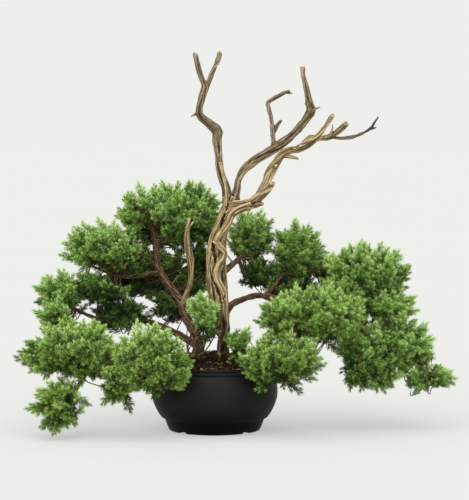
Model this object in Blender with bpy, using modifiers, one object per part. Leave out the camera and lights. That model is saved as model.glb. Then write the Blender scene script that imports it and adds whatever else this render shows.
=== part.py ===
"""Twisted juniper bonsai with dead upper limbs, growing in a round black plastic pot.

The origin is the centre of the pot's flat base, +Z is up and -Y is the front of the tree.
Routes and outlines are written in millimetres and turned into metres by MM.
"""
import math

import bmesh
import bpy
from mathutils import Euler, Matrix, Vector, noise

MM = 0.001

# Driving dimensions, in millimetres.
POT_RADIUS = 101.5        # widest part of the belly
POT_HEIGHT = 105.5        # rim above the base
RIM_RADIUS = 89.6         # outside of the upper lip
FOOT_RADIUS = 70.0        # flat base
WALL = 3.4                # thickness of the moulded wall
FLOOR = 6.0               # top of the pot's floor
GROOVE_WIDTH = 18.0       # drain grooves under the base
GROOVE_DEPTH = 3.0
DRAIN_RADIUS = 6.0
DRAIN_CIRCLE = 42.0       # radius of the ring on which the four holes sit
SCREEN_RADIUS = 11.0
SCREEN_THICK = 1.2
MOUND_TOP = 124.0         # top of the soil beside the trunk
SOIL_EDGE = 97.0          # soil level at the wall
MOUND_RADIUS = 80.0       # where the mound runs out into the watering space
GAP = 0.35                # clearance between pieces that touch
LEAF_GAP = 1.2            # clearance between neighbouring sprays
TURN_STEPS = 32

PARTS = "juniper_bonsai"
CUTTERS = "cutters"


# ------------------------------------------------------------------ scene and helpers
for old in list(bpy.data.objects):
    bpy.data.objects.remove(old, do_unlink=True)

parts = bpy.data.collections.new(PARTS)
cutters = bpy.data.collections.new(CUTTERS)
for made in (parts, cutters):
    bpy.context.scene.collection.children.link(made)


def material(name, colour, roughness, metallic=0.0):
    """A plain Principled finish for one sub-part."""
    finish = bpy.data.materials.new(name)
    finish.use_nodes = True
    shader = finish.node_tree.nodes["Principled BSDF"]
    shader.inputs["Base Color"].default_value = (*colour, 1.0)
    shader.inputs["Roughness"].default_value = roughness
    shader.inputs["Metallic"].default_value = metallic
    return finish


def add_object(name, data, collection):
    made = bpy.data.objects.new(name, data)
    collection.objects.link(made)
    if collection is cutters:
        made.hide_render = True
        made.display_type = "WIRE"
    return made


def adopt(made, name, collection):
    """Take an object that an operator has made into one of the two collections."""
    for owner in list(made.users_collection):
        owner.objects.unlink(made)
    collection.objects.link(made)
    made.name = name
    if collection is cutters:
        made.hide_render = True
        made.display_type = "WIRE"
    return made


def finished(made, finish, smooth_angle=40.0):
    made.data.materials.clear()
    made.data.materials.append(finish)
    made.data.shade_smooth()
    made.data.set_sharp_from_angle(angle=math.radians(smooth_angle))
    return made


def settle(made):
    """Replace an object's mesh by what its modifiers give."""
    bpy.context.view_layer.update()
    seen = made.evaluated_get(bpy.context.evaluated_depsgraph_get())
    result = bpy.data.meshes.new_from_object(seen)
    made.modifiers.clear()
    made.data = result
    return made


def combine(made, others, operation):
    """Join meshes to an object, or cut them out of it."""
    for other in others:
        step = made.modifiers.new(operation.lower(), "BOOLEAN")
        step.operation = operation
        step.solver = "EXACT"
        step.object = other
        settle(made)
    return made


def turned(name, outline, collection, steps=TURN_STEPS):
    """A solid of revolution from an outline that runs down its outer side."""
    mesh = bpy.data.meshes.new(name)
    points = [(radius * MM, 0.0, height * MM) for radius, height in outline]
    mesh.from_pydata(points, [(i, i + 1) for i in range(len(points) - 1)], [])
    made = add_object(name, mesh, collection)
    spin = made.modifiers.new("turn", "SCREW")
    spin.steps = spin.render_steps = steps
    spin.use_merge_vertices = True
    spin.merge_threshold = 0.00005
    return settle(made)


def smooth_route(route, pieces=2):
    """Points of a smooth curve through the route, each (x, y, z, radius)."""
    ends = [route[0], *route, route[-1]]
    points = []
    for i in range(1, len(ends) - 2):
        before, start, end, after = ends[i - 1:i + 3]
        for k in range(pieces):
            t = k / pieces
            weights = (-0.5 * t + t * t - 0.5 * t ** 3,
                       1 - 2.5 * t * t + 1.5 * t ** 3,
                       0.5 * t + 2 * t * t - 1.5 * t ** 3,
                       -0.5 * t * t + 0.5 * t ** 3)
            four = (before, start, end, after)
            points.append(tuple(sum(w * p[a] for w, p in zip(weights, four)) for a in range(4)))
    points.append(tuple(route[-1]))
    return points


def longer(points, extra):
    """The same route with both ends pushed out by the extra length."""
    points = list(points)
    for end, beside in ((0, 1), (-1, -2)):
        tip = Vector(points[end][:3])
        away = (tip - Vector(points[beside][:3])).normalized()
        points[end] = (*(tip + away * extra), points[end][3])
    return points


def wood(name, route, collection, grow=0.0, bevel=2, pieces=1):
    """A round limb along a route, tapering with the radius at each point."""
    curve = bpy.data.curves.new(name, "CURVE")
    curve.dimensions = "3D"
    curve.bevel_depth = MM
    curve.bevel_resolution = bevel
    curve.use_fill_caps = True
    points = longer(smooth_route(route, pieces), grow)
    spline = curve.splines.new("POLY")
    spline.points.add(len(points) - 1)
    for point, (x, y, z, radius) in zip(spline.points, points):
        point.co = (x * MM, y * MM, z * MM, 1.0)
        point.radius = radius + grow
    drawn = add_object(name + "_route", curve, collection)
    bpy.context.view_layer.update()
    seen = drawn.evaluated_get(bpy.context.evaluated_depsgraph_get())
    mesh = bpy.data.meshes.new_from_object(seen)
    made = add_object(name, mesh, collection)
    made.matrix_world = drawn.matrix_world
    bpy.data.objects.remove(drawn, do_unlink=True)
    shape = bmesh.new()
    shape.from_mesh(mesh)
    bmesh.ops.remove_doubles(shape, verts=shape.verts, dist=0.00002)
    bmesh.ops.recalc_face_normals(shape, faces=shape.faces)
    shape.to_mesh(mesh)
    shape.free()
    return made


def joined_wood(name, routes, collection, grow=0.0):
    """Several limbs grown together into one solid."""
    limbs = [wood(f"{name}_{i}", route, collection, grow) for i, route in enumerate(routes)]
    combine(limbs[0], limbs[1:], "UNION")
    for limb in limbs[1:]:
        bpy.data.objects.remove(limb, do_unlink=True)
    limbs[0].name = name
    return limbs[0]


def boxes_meet(first, second, slack=0.002):
    """Whether two objects' boxes come within the slack of each other."""
    lows, highs = [], []
    for made in (first, second):
        points = [made.matrix_world @ v.co for v in made.data.vertices]
        lows.append([min(p[a] for p in points) for a in range(3)])
        highs.append([max(p[a] for p in points) for a in range(3)])
    return all(lows[0][a] - slack < highs[1][a] and lows[1][a] - slack < highs[0][a]
               for a in range(3))


# ------------------------------------------------------------------ finishes
POT_BLACK = material("pot_black", (0.012, 0.012, 0.013), 0.42)
SCREEN_GREY = material("screen_grey", (0.05, 0.05, 0.05), 0.6)
SOIL_BROWN = material("soil_brown", (0.045, 0.026, 0.016), 0.95)
CHIP_TAN = material("chip_tan", (0.30, 0.17, 0.09), 0.85)
DEAD_WOOD = material("dead_wood", (0.42, 0.31, 0.21), 0.78)
LIVE_BARK = material("live_bark", (0.17, 0.075, 0.04), 0.85)


def leaf_green(name, light):
    """Needle green, from the shaded inner sprays to the bright young tips."""
    return material(name, (0.035 + 0.09 * light, 0.12 + 0.16 * light, 0.03 + 0.02 * light), 0.6)


# ------------------------------------------------------------------ pot
POT_INSIDE = [(70, FLOOR), (76, 16), (87, 30.5), (94.6, 44), (POT_RADIUS - WALL, 61),
              (96.6, 76), (91.6, 86.4), (86.6, 93), (85.4, 96), (85.2, 101)]
POT_OUTSIDE = [(85.8, POT_HEIGHT), (88.6, POT_HEIGHT), (RIM_RADIUS, 104.2), (RIM_RADIUS, 101.2),
               (88.4, 100.4), (91.0, 99.4), (91.4, 98.2), (91.0, 95.6), (89.9, 94.4),
               (94.8, 89.6), (99.4, 80), (101.3, 70), (POT_RADIUS, 61), (99.6, 47),
               (94, 33), (86, 21.8), (80.4, 19.6), (76.5, 8), (73, 1.8), (FOOT_RADIUS, 0)]


def make_pot():
    outline = [(0, FLOOR), *POT_INSIDE, *POT_OUTSIDE, (0, 0)]
    pot = turned("pot", outline, parts)
    diagonals = [math.radians(45 + 90 * i) for i in range(4)]
    for i, angle in enumerate(diagonals):
        along = Vector((math.cos(angle), math.sin(angle), 0))
        inner, outer = DRAIN_CIRCLE - 8, FOOT_RADIUS + 12
        bpy.ops.mesh.primitive_cube_add(size=1)
        groove = adopt(bpy.context.object, f"drain_groove_{i + 1}", cutters)
        groove.data.transform(Matrix.Diagonal(((outer - inner) * MM, GROOVE_WIDTH * MM,
                                               2 * GROOVE_DEPTH * MM, 1)))
        groove.data.transform(Matrix.Rotation(angle, 4, "Z"))
        groove.data.transform(Matrix.Translation(along * (inner + outer) / 2 * MM))
        bpy.ops.mesh.primitive_cylinder_add(vertices=12, radius=DRAIN_RADIUS * MM,
                                            depth=4 * FLOOR * MM)
        hole = adopt(bpy.context.object, f"drain_hole_{i + 1}", cutters)
        hole.data.transform(Matrix.Translation(along * DRAIN_CIRCLE * MM))
        combine(pot, [groove, hole], "DIFFERENCE")
    finished(pot, POT_BLACK, 30)
    return diagonals


def make_screens(diagonals):
    """Thin plastic screens that keep the soil from washing out of the four holes."""
    for i, angle in enumerate(diagonals):
        bpy.ops.mesh.primitive_cylinder_add(vertices=16, radius=SCREEN_RADIUS * MM,
                                            depth=SCREEN_THICK * MM)
        screen = adopt(bpy.context.object, f"drain_screen_{i + 1}", parts)
        spot = Vector((math.cos(angle), math.sin(angle), 0)) * DRAIN_CIRCLE
        spot.z = FLOOR + GAP + SCREEN_THICK / 2
        screen.data.transform(Matrix.Translation(spot * MM))
        finished(screen, SCREEN_GREY)


# ------------------------------------------------------------------ wood
# Every route point is (x, y, z, radius) in millimetres.
TRUNK = [(10, 2, 96, 17), (10, 0, 112, 16), (12, 0, 128, 13), (14, 0, 150, 10.5),
         (14, -2, 170, 10), (11, -4, 190, 11), (7, -4, 209, 12.5), (5, -3, 231, 13.5),
         (3, 0, 254, 12.5), (4, 2, 273, 13), (6, 3, 289, 14), (8, 2, 303, 13.5),
         (10, 0, 319, 12.5), (14, -2, 335, 12.5), (18, -3, 350, 13), (23, -3, 364, 11)]
STRAND_LEFT = [(12, -4, 130, 6), (8, -6, 160, 6), (2, -7, 186, 6.5), (-3, -8, 214, 6.5),
               (-7, -8, 245, 6), (-7, -6, 274, 6), (-5, -6, 296, 6), (3, -8, 318, 6.5),
               (12, -9, 344, 6)]
STRAND_FRONT = [(16, -8, 176, 5), (17, -12, 200, 5), (13, -15, 224, 5.5), (2, -15, 248, 5.5),
                (5, -14, 268, 5), (12, -13, 281, 5.5), (4, -14, 297, 6), (3, -13, 309, 6),
                (18, -13, 325, 6), (25, -13, 347, 6), (37, -15, 361, 6.5)]
LIMB_LEFT = [(21, -2, 352, 10), (18, 2, 384, 7.7), (10, 6, 410, 7.3), (6, 10, 438, 7.3),
             (4, 13, 463, 7.5), (4, 14, 479, 7.8), (-7, 12, 491, 7.4), (-21, 6, 502, 6.9),
             (-24, 2, 512, 7), (-21, -2, 525, 6.6), (-16, -4, 543, 6.3), (-15, -4, 550, 5.8),
             (-21, -10, 566, 5.4), (-26, -18, 582, 5), (-30, -26, 601, 4.6)]
LIMB_LEFT_TWIG = [(-15, -4, 545, 5.2), (-6, 6, 566, 4.8), (2, 18, 585, 4.6), (8, 30, 605, 4.2)]
LIMB_MIDDLE = [(26, 0, 352, 9), (34, 2, 366, 7), (36, 6, 382, 6.5), (38, 10, 400, 6.9),
               (47, 14, 416, 7.4), (63, 18, 430, 7.7), (80, 20, 442, 7.8), (97, 20, 453, 8.1),
               (116, 18, 466, 7.5), (131, 14, 480, 7), (145, 8, 497, 6.8), (154, 2, 511, 6.7),
               (151, -2, 525, 5.6), (146, -8, 549, 5), (141, -14, 568, 4.7), (140, -16, 578, 4)]
LIMB_MIDDLE_TWIG = [(95, 20, 452, 5), (94, 26, 476, 4.7), (91, 34, 498, 4.5),
                    (87, 40, 516, 4.3), (86, 42, 525, 4.1), (95, 40, 532, 3.9),
                    (110, 36, 540, 3.5), (122, 32, 544, 2.4)]
LIMB_MIDDLE_STUB = [(92, 27, 474, 3.4), (100, 30, 487, 3.4), (107, 34, 497, 2.8)]
LIMB_RIGHT = [(18, -4, 344, 9), (27, -12, 357, 8.6), (46, -20, 363, 8.2), (62, -26, 368, 8.2),
              (73, -30, 376, 8.4), (83, -34, 387, 7.8), (91, -38, 397, 6)]
LIMB_RIGHT_MAIN = [(66, -27, 370, 6.4), (78, -20, 391, 7), (89, -12, 413, 7.5),
                   (98, -6, 430, 7), (108, -3, 443, 6.9), (120, -4, 449, 6.6),
                   (135, -10, 452, 6.1), (152, -18, 460, 5.7), (165, -26, 472, 4.6),
                   (176, -34, 487, 4.3), (187, -42, 505, 3.8)]
LIMB_RIGHT_UPPER = [(137, -10, 452, 5), (146, -4, 463, 5.3), (155, 2, 469, 5.2),
                    (168, 4, 467, 4.6), (186, 2, 471, 4.6), (200, -2, 480, 5),
                    (211, -6, 491, 4.2)]
LIMB_RIGHT_TIP = [(185, 2, 470, 3.2), (206, 10, 468, 3), (225, 18, 471, 3),
                  (241, 24, 477, 2.9), (252, 28, 484, 2.6), (257, 30, 492, 2.3),
                  (264, 32, 503, 1.9)]
SURFACE_ROOTS = [
    [(4, -4, 118, 9), (-8, -10, 115, 7), (-22, -18, 112, 5.5), (-36, -30, 107, 4)],
    [(16, -4, 118, 9), (27, -12, 115, 7), (42, -17, 111, 5.5), (58, -22, 103, 3.5)],
    [(10, 6, 118, 9), (14, 22, 115, 7), (22, 40, 109, 5), (28, 54, 102, 3.5)],
    [(8, -8, 116, 7), (10, -22, 114, 5.5), (8, -38, 110, 4.5), (12, -54, 102, 3)],
]
WOOD_ROUTES = [TRUNK, STRAND_LEFT, STRAND_FRONT, LIMB_LEFT, LIMB_LEFT_TWIG, LIMB_MIDDLE,
               LIMB_MIDDLE_TWIG, LIMB_MIDDLE_STUB, LIMB_RIGHT, LIMB_RIGHT_MAIN,
               LIMB_RIGHT_UPPER, LIMB_RIGHT_TIP, *SURFACE_ROOTS]

# Live branches: each grows out of the trunk or out of one named before it.
BRANCHES = {
    "branch_left_upper": [(-20, 8, 108, 10), (-30, 16, 146, 8.6), (-44, 26, 174, 7.8),
                          (-56, 34, 202, 7.2), (-70, 44, 223, 6.6), (-85, 54, 243, 6.3),
                          (-94, 60, 261, 6.2), (-96, 66, 287, 5.6), (-98, 72, 306, 4.8),
                          (-104, 78, 326, 4), (-112, 84, 345, 3)],
    "branch_left_side": [(-92, 56, 250, 3.8), (-111, 50, 246, 3.5), (-125, 45, 243, 3.1),
                         (-149, 40, 243, 2.8), (-176, 35, 251, 2.3), (-200, 30, 262, 1.8)],
    "branch_left_low": [(-26, 18, 134, 6.5), (-56, 34, 148, 5.6), (-89, 38, 163, 5),
                        (-121, 34, 174, 4.6), (-147, 26, 172, 4.2), (-170, 14, 172, 3.7),
                        (-200, 4, 182, 3), (-230, -2, 198, 2.4), (-248, -5, 210, 2)],
    "branch_left_front": [(-14, -14, 116, 6), (-38, -48, 124, 5.6), (-66, -75, 125, 5),
                          (-100, -90, 122, 4.5), (-137, -92, 120, 3.9), (-168, -88, 119, 3.5),
                          (-197, -85, 108, 3.1), (-211, -84, 84, 2.7), (-222, -88, 58, 2.2),
                          (-236, -94, 40, 1.8)],
    "branch_back_left": [(8, 8, 158, 6), (-4, 34, 168, 5.6), (-20, 64, 182, 5),
                         (-40, 96, 200, 4.4), (-64, 126, 216, 3.6), (-92, 148, 226, 2.6)],
    "branch_right_low": [(14, 2, 184, 6.4), (26, 8, 199, 5.4), (42, 18, 207, 5),
                         (70, 32, 213, 4.6), (106, 30, 209, 4.3), (141, 20, 204, 4),
                         (178, 10, 199, 3.7), (214, 2, 188, 3.4), (249, -5, 169, 3),
                         (284, -10, 142, 2.6), (316, -12, 116, 2.2), (344, -12, 98, 1.8)],
    "branch_right_front": [(22, -8, 118, 5.6), (42, -34, 128, 5.2), (66, -60, 130, 4.6),
                           (92, -78, 124, 4), (118, -88, 114, 3.4), (142, -92, 104, 2.6)],
    "branch_right_upper": [(84, 33, 213, 4.4), (96, 48, 228, 4.2), (112, 62, 244, 3.9),
                           (148, 62, 250, 3.5), (184, 54, 252, 3.2), (220, 44, 250, 2.8),
                           (252, 36, 244, 2.2)],
    "branch_back_right": [(84, 36, 209, 3.4), (106, 62, 199, 3.4), (134, 92, 188, 3),
                          (168, 110, 182, 2.6), (204, 120, 178, 2)],
    "branch_centre_back": [(12, 6, 252, 5), (26, 24, 262, 4.6), (40, 48, 272, 4.2),
                           (52, 70, 284, 3.6), (60, 84, 302, 2.8)],
}
# The dead stub stands on the left branch, in front of the upper left foliage.
DEAD_STUB = [(-54, 32, 196, 5.2), (-50, 30, 205, 5.4), (-46, 28, 217, 5.3), (-41, 26, 229, 5.4),
             (-38, 24, 247, 5.6), (-38, 22, 267, 5.6), (-42, 20, 287, 5.4), (-44, 18, 307, 5),
             (-43, 16, 323, 4.4), (-41, 14, 340, 3.2)]


def make_wood():
    """The dead trunk, the live branches that leave it and the dead stub."""
    trunk = joined_wood("trunk_deadwood", WOOD_ROUTES, parts)
    finished(trunk, DEAD_WOOD, 60)
    grown = [joined_wood("trunk_room", WOOD_ROUTES, cutters, GAP)]
    for name, route in {**BRANCHES, "dead_stub_left": DEAD_STUB}.items():
        branch = wood(name, route, parts, bevel=1)
        combine(branch, [other for other in grown if boxes_meet(branch, other)], "DIFFERENCE")
        finished(branch, DEAD_WOOD if name == "dead_stub_left" else LIVE_BARK, 60)
        grown.append(wood(name + "_room", route, cutters, GAP, bevel=1))
    return grown


# ------------------------------------------------------------------ soil
CHIPS = [  # x, y, turn, tilt, length, width
    (-44, -52, 20, 24, 15, 8), (38, -58, 75, 30, 13, 7), (66, -8, 130, 26, 14, 8),
    (-58, 6, 10, 28, 12, 7), (-18, -66, 150, 24, 11, 6), (50, 46, 60, 26, 14, 7),
]
CHIP_THICK = 4.0


def mound_height(radius):
    """Height of the soil surface at a distance from the middle of the pot."""
    spread = min(1.0, radius / MOUND_RADIUS)
    return SOIL_EDGE + (MOUND_TOP - SOIL_EDGE) * (1 - spread ** 1.6) ** 1.15


def make_soil(grown_wood):
    top = [(radius, mound_height(radius)) for radius in (0, 14, 28, 42, 56, 68, MOUND_RADIUS)]
    side = [(radius - 2 * GAP, height) for radius, height in reversed(POT_INSIDE)
            if FLOOR < height < SOIL_EDGE]
    bottom = FLOOR + SCREEN_THICK + 3 * GAP
    outline = [*top, (POT_INSIDE[-1][0] - 2 * GAP, SOIL_EDGE), *side, (70, bottom), (0, bottom)]
    soil = turned("soil", outline, parts)
    near = [room for room in grown_wood if boxes_meet(soil, room)]
    combine(soil, near, "DIFFERENCE")
    for i, (x, y, turn, tilt, length, width) in enumerate(CHIPS):
        spot = Vector((x, y, mound_height(math.hypot(x, y)) + 0.8)) * MM
        facing = Euler((0, math.radians(tilt), math.atan2(y, x)))
        lie = Matrix.LocRotScale(spot, facing, None) @ Matrix.Rotation(math.radians(turn), 4, "Z")
        made = []
        for grow, name, group in ((0, f"bark_chip_{i + 1}", parts), (GAP, f"chip_room_{i + 1}", cutters)):
            bpy.ops.mesh.primitive_cube_add(size=1)
            chip = adopt(bpy.context.object, name, group)
            sizes = [(value + 2 * grow) * MM for value in (length, width, CHIP_THICK)]
            chip.data.transform(Matrix.Diagonal((*sizes, 1)))
            chip.data.transform(lie)
            made.append(chip)
        finished(made[0], CHIP_TAN)
        combine(soil, [made[1]], "DIFFERENCE")
    finished(soil, SOIL_BROWN, 50)


# ------------------------------------------------------------------ foliage
# name: centre, half sizes, tilt about Y and turn about Z in degrees, lightness of the green.
FOLIAGE = {
    "foliage_left_front": ((-96, -118, 112), (60, 44, 66), 8, 0, 0.9),
    "foliage_left_low": ((-222, -80, 126), (84, 52, 60), 6, 0, 0.9),
    "foliage_left_hanging": ((-246, -104, 50), (35, 32, 44), 18, 0, 0.7),
    "foliage_left_droop": ((-152, -112, 76), (24, 24, 34), -14, 0, 0.8),
    "foliage_left_between": ((-256, -42, 184), (26, 28, 26), 0, 0, 0.6),
    "foliage_right_low_front": ((104, -106, 112), (64, 38, 46), 8, 0, 0.8),
    "foliage_right_front": ((152, -66, 181), (86, 44, 48), 20, 0, 0.85),
    "foliage_centre_plume": ((-21, -48, 178), (24, 24, 48), 0, 0, 0.8),
    "foliage_right_base": ((42, -44, 146), (20, 20, 20), 0, 0, 0.7),
    "foliage_right_low": ((270, 0, 130), (78, 60, 62), 12, 0, 0.7),
    "foliage_right_side": ((290, 12, 184), (30, 40, 34), 0, 0, 0.7),
    "foliage_right_tip": ((342, -10, 86), (46, 26, 18), 18, 0, 0.7),
    "foliage_right_fringe": ((252, -36, 88), (50, 32, 20), 14, 0, 0.5),
    "foliage_right_upper": ((244, 44, 226), (72, 56, 66), -2, 0, 0.6),
    "foliage_right_gap": ((184, 72, 250), (26, 28, 22), 0, 0, 0.5),
    "foliage_right_back": ((138, 84, 273), (46, 46, 54), 0, 0, 0.4),
    "foliage_right_heart": ((72, 66, 243), (38, 34, 28), 0, 0, 0.3),
    "foliage_right_under": ((128, 62, 224), (46, 34, 20), 0, 0, 0.2),
    "foliage_centre_back": ((62, 92, 298), (42, 42, 46), 10, 0, 0.4),
    "foliage_left_crown": ((-74, 84, 334), (92, 62, 64), 4, 0, 0.55),
    "foliage_left_wing": ((-180, 44, 286), (66, 50, 44), -24, 0, 0.55),
    "foliage_left_mid": ((-250, -6, 217), (38, 38, 34), 0, 0, 0.6),
    "foliage_left_link": ((-190, 14, 226), (44, 36, 34), 0, 0, 0.5),
    "foliage_left_inner": ((-118, 72, 244), (62, 44, 44), 0, 0, 0.2),
    "foliage_left_under": ((-154, 16, 178), (44, 34, 28), 0, 0, 0.2),
    "foliage_left_heart": ((-70, 56, 188), (28, 28, 34), 0, 0, 0.2),
    "foliage_centre_left": ((-22, 84, 272), (26, 32, 36), 0, 0, 0.25),
    "foliage_back_left": ((-84, 148, 226), (80, 46, 44), 0, 0, 0.35),
    "foliage_back_right": ((188, 118, 180), (72, 42, 40), 6, 0, 0.35),
}


def spray_body(name, centre, half, tilt, turn, collection, grow=0.0):
    """The rounded, lumpy space that one spray of needles fills, flatter underneath."""
    bpy.ops.mesh.primitive_ico_sphere_add(subdivisions=3, radius=1)
    made = adopt(bpy.context.object, name, collection)
    facing = Euler((0, math.radians(tilt), math.radians(turn))).to_matrix()
    for vertex in made.data.vertices:
        way = vertex.co.normalized()
        swell = 1 + 0.22 * noise.noise(way * 1.7 + Vector(centre) * 0.013)
        flat = 0.8 if way.z < 0 else 1.0
        spot = Vector((way.x * half[0], way.y * half[1], way.z * half[2] * flat)) * swell
        away = Vector((way.x / half[0], way.y / half[1], way.z / half[2])).normalized()
        vertex.co = (facing @ (spot + away * grow) + Vector(centre)) * MM
    made.data.update()
    return made


def make_foliage(grown_wood):
    """One solid for each spray, cut clear of the wood, the pot and the sprays before it."""
    outline = [(0, MOUND_TOP + 6), (30, MOUND_TOP + 2), (58, 115), (84, POT_HEIGHT + 3),
               (91, POT_HEIGHT + 2), (94, 96), (101.5, 82), (103.5, 61), (100, 40), (88, 20),
               (82, -5), (0, -5)]
    pot_room = turned("pot_room", outline, cutters, 24)
    leaf_room = []
    for name, (centre, half, tilt, turn, light) in FOLIAGE.items():
        spray = spray_body(name, centre, half, tilt, turn, parts)
        near = [room for room in [pot_room, *grown_wood, *leaf_room] if boxes_meet(spray, room)]
        combine(spray, near, "DIFFERENCE")
        finished(spray, leaf_green(name + "_green", light), 70)
        leaf_room.append(spray_body(name + "_room", centre, half, tilt, turn, cutters, LEAF_GAP))


make_screens(make_pot())
wood_room = make_wood()
make_soil(wood_room)
make_foliage(wood_room)
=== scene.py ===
"""A twisted juniper bonsai with dead upper limbs, growing in a round black plastic pot."""
import math

import bmesh
import bpy
import numpy as np
from mathutils import Matrix, Vector, kdtree, noise


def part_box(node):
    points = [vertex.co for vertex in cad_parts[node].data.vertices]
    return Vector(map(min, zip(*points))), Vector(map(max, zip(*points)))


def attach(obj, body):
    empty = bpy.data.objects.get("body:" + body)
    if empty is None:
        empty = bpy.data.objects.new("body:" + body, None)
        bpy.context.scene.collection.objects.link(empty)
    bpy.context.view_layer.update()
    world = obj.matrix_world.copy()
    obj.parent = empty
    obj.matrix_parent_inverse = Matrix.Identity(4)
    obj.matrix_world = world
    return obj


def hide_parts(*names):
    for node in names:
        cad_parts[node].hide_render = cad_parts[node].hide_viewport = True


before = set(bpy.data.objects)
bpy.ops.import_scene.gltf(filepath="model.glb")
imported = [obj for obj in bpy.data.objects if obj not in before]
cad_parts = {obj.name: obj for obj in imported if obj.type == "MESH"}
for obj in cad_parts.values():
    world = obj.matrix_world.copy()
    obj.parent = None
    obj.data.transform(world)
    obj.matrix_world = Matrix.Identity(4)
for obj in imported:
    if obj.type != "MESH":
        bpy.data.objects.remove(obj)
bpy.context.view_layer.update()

MM = 0.001

# ---------------------------------------------------------------- the room
# A pale floor that glows a little, so that shadows stay faint, and runs out to a sky of the same
# brightness, under wide soft lights from above and from the front. The camera stands a little
# above the pot's rim.
PALE = (0.860, 0.867, 0.830)
SKY_LIGHT = 1.2
FLOOR_PAINT = (0.2135, 0.2155, 0.209)
FLOOR_GLOW = (0.430, 0.433, 0.415)
EYE = Vector((0.032, -3.2, 0.47))
EYE_DOWN = 3.24

scene = bpy.context.scene
scene.view_settings.view_transform = "Standard"
scene.view_settings.look = "None"


def add_camera():
    camera = bpy.data.objects.new("camera", bpy.data.cameras.new("camera"))
    camera.location = EYE
    camera.rotation_euler = (math.radians(90 - EYE_DOWN), 0, 0)
    camera.data.lens = 144
    camera.data.sensor_width = 36
    camera.data.clip_end = 200
    scene.collection.objects.link(camera)
    scene.camera = camera


def add_light(name, toward, strength, spread):
    """A soft light from far away, so that it falls evenly on the whole floor."""
    lamp = bpy.data.lights.new(name, "SUN")
    lamp.energy = strength
    lamp.angle = math.radians(spread)
    light = bpy.data.objects.new(name, lamp)
    light.location = -Vector(toward)
    light.rotation_euler = Vector(toward).to_track_quat("-Z", "Y").to_euler()
    scene.collection.objects.link(light)


def add_sky():
    """The eye sees the pale backdrop colour, and the object gets its own amount of light."""
    world = bpy.data.worlds.new("sky")
    scene.world = world
    world.use_nodes = True
    tree = world.node_tree
    seen, lit = tree.nodes["Background"], tree.nodes.new("ShaderNodeBackground")
    seen.inputs["Color"].default_value = (*PALE, 1)
    lit.inputs["Color"].default_value = (1.0, 1.0, 0.985, 1)
    lit.inputs["Strength"].default_value = SKY_LIGHT
    path = tree.nodes.new("ShaderNodeLightPath")
    choose = tree.nodes.new("ShaderNodeMixShader")
    tree.links.new(path.outputs["Is Camera Ray"], choose.inputs[0])
    tree.links.new(lit.outputs[0], choose.inputs[1])
    tree.links.new(seen.outputs[0], choose.inputs[2])
    tree.links.new(choose.outputs[0], tree.nodes["World Output"].inputs["Surface"])


add_camera()
add_sky()
add_light("high_light", (0.2, 0.3, -1.0), 1.8, 70)
add_light("front_light", (0.1, 1.0, -0.5), 1.9, 90)


class Value:
    """A number or colour inside a material. Arithmetic on it adds the Math nodes."""

    def __init__(self, finish, socket):
        self.finish, self.socket = finish, socket

    def math(self, operation, first, second=None):
        inputs = {0: first} if second is None else {0: first, 1: second}
        return self.finish.node("ShaderNodeMath", {"operation": operation}, inputs)

    def __add__(self, other):
        return self.math("ADD", self, other)

    def __sub__(self, other):
        return self.math("SUBTRACT", self, other)

    def __rsub__(self, other):
        return self.math("SUBTRACT", other, self)

    def __mul__(self, other):
        return self.math("MULTIPLY", self, other)

    def __pow__(self, other):
        return self.math("POWER", self, other)

    def __gt__(self, other):
        return self.math("GREATER_THAN", self, other)

    def held(self):
        """Kept between 0 and 1."""
        return self.math("MINIMUM", self.math("MAXIMUM", self, 0.0), 1.0)

    __radd__ = __add__
    __rmul__ = __mul__


class Finish:
    """A material in the making: its Principled shader, and one way to add any other node."""

    def __init__(self, name, **constants):
        self.material = bpy.data.materials.new(name)
        self.material.use_nodes = True
        self.tree = self.material.node_tree
        self.shader = self.tree.nodes["Principled BSDF"]
        for socket, number in constants.items():
            socket = {"sheen": "Specular IOR Level"}.get(socket, socket.title())
            self.shader.inputs[socket].default_value = number

    def node(self, kind, settings, inputs, out=0):
        made = self.tree.nodes.new(kind)
        for name, setting in settings.items():
            if name == "stops":
                ramp = made.color_ramp.elements
                for _ in setting[2:]:
                    ramp.new(0.5)
                for stop, (place, colour) in zip(ramp, setting):
                    stop.position = place
                    stop.color = (*colour, 1)
            else:
                setattr(made, name, setting)
        for name, value in inputs.items():
            self.plug(made.inputs[name], value)
        return Value(self, made.outputs[out])

    def plug(self, socket, value):
        if isinstance(value, Value):
            self.tree.links.new(value.socket, socket)
        else:
            socket.default_value = value

    def noise(self, scale, place=None, detail=3.0, roughness=0.55):
        place = place or self.node("ShaderNodeTexCoord", {}, {}, "Object")
        wanted = {"Vector": place, "Scale": scale, "Detail": detail, "Roughness": roughness}
        return self.node("ShaderNodeTexNoise", {}, wanted)

    def number(self, name):
        """A number stored on the mesh."""
        return self.node("ShaderNodeAttribute", {"attribute_name": name}, {}, "Fac")

    def mix(self, factor, low, high, blend="MIX"):
        """From one colour to another as the factor goes from 0 to 1."""
        low, high = (c if isinstance(c, Value) else (*c, 1) for c in (low, high))
        settings = {"data_type": "RGBA", "blend_type": blend}
        return self.node("ShaderNodeMix", settings, {0: factor, 6: low, 7: high}, 2)

    def ramp(self, factor, *stops):
        return self.node("ShaderNodeValToRGB", {"stops": stops}, {0: factor})

    def colour(self, value):
        self.plug(self.shader.inputs["Base Color"], value)

    def roughness(self, value):
        self.plug(self.shader.inputs["Roughness"], value)

    def bump(self, height, depth, strength=1.0):
        raised = {"Height": height, "Distance": depth, "Strength": strength}
        self.plug(self.shader.inputs["Normal"], self.node("ShaderNodeBump", {}, raised))


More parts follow.
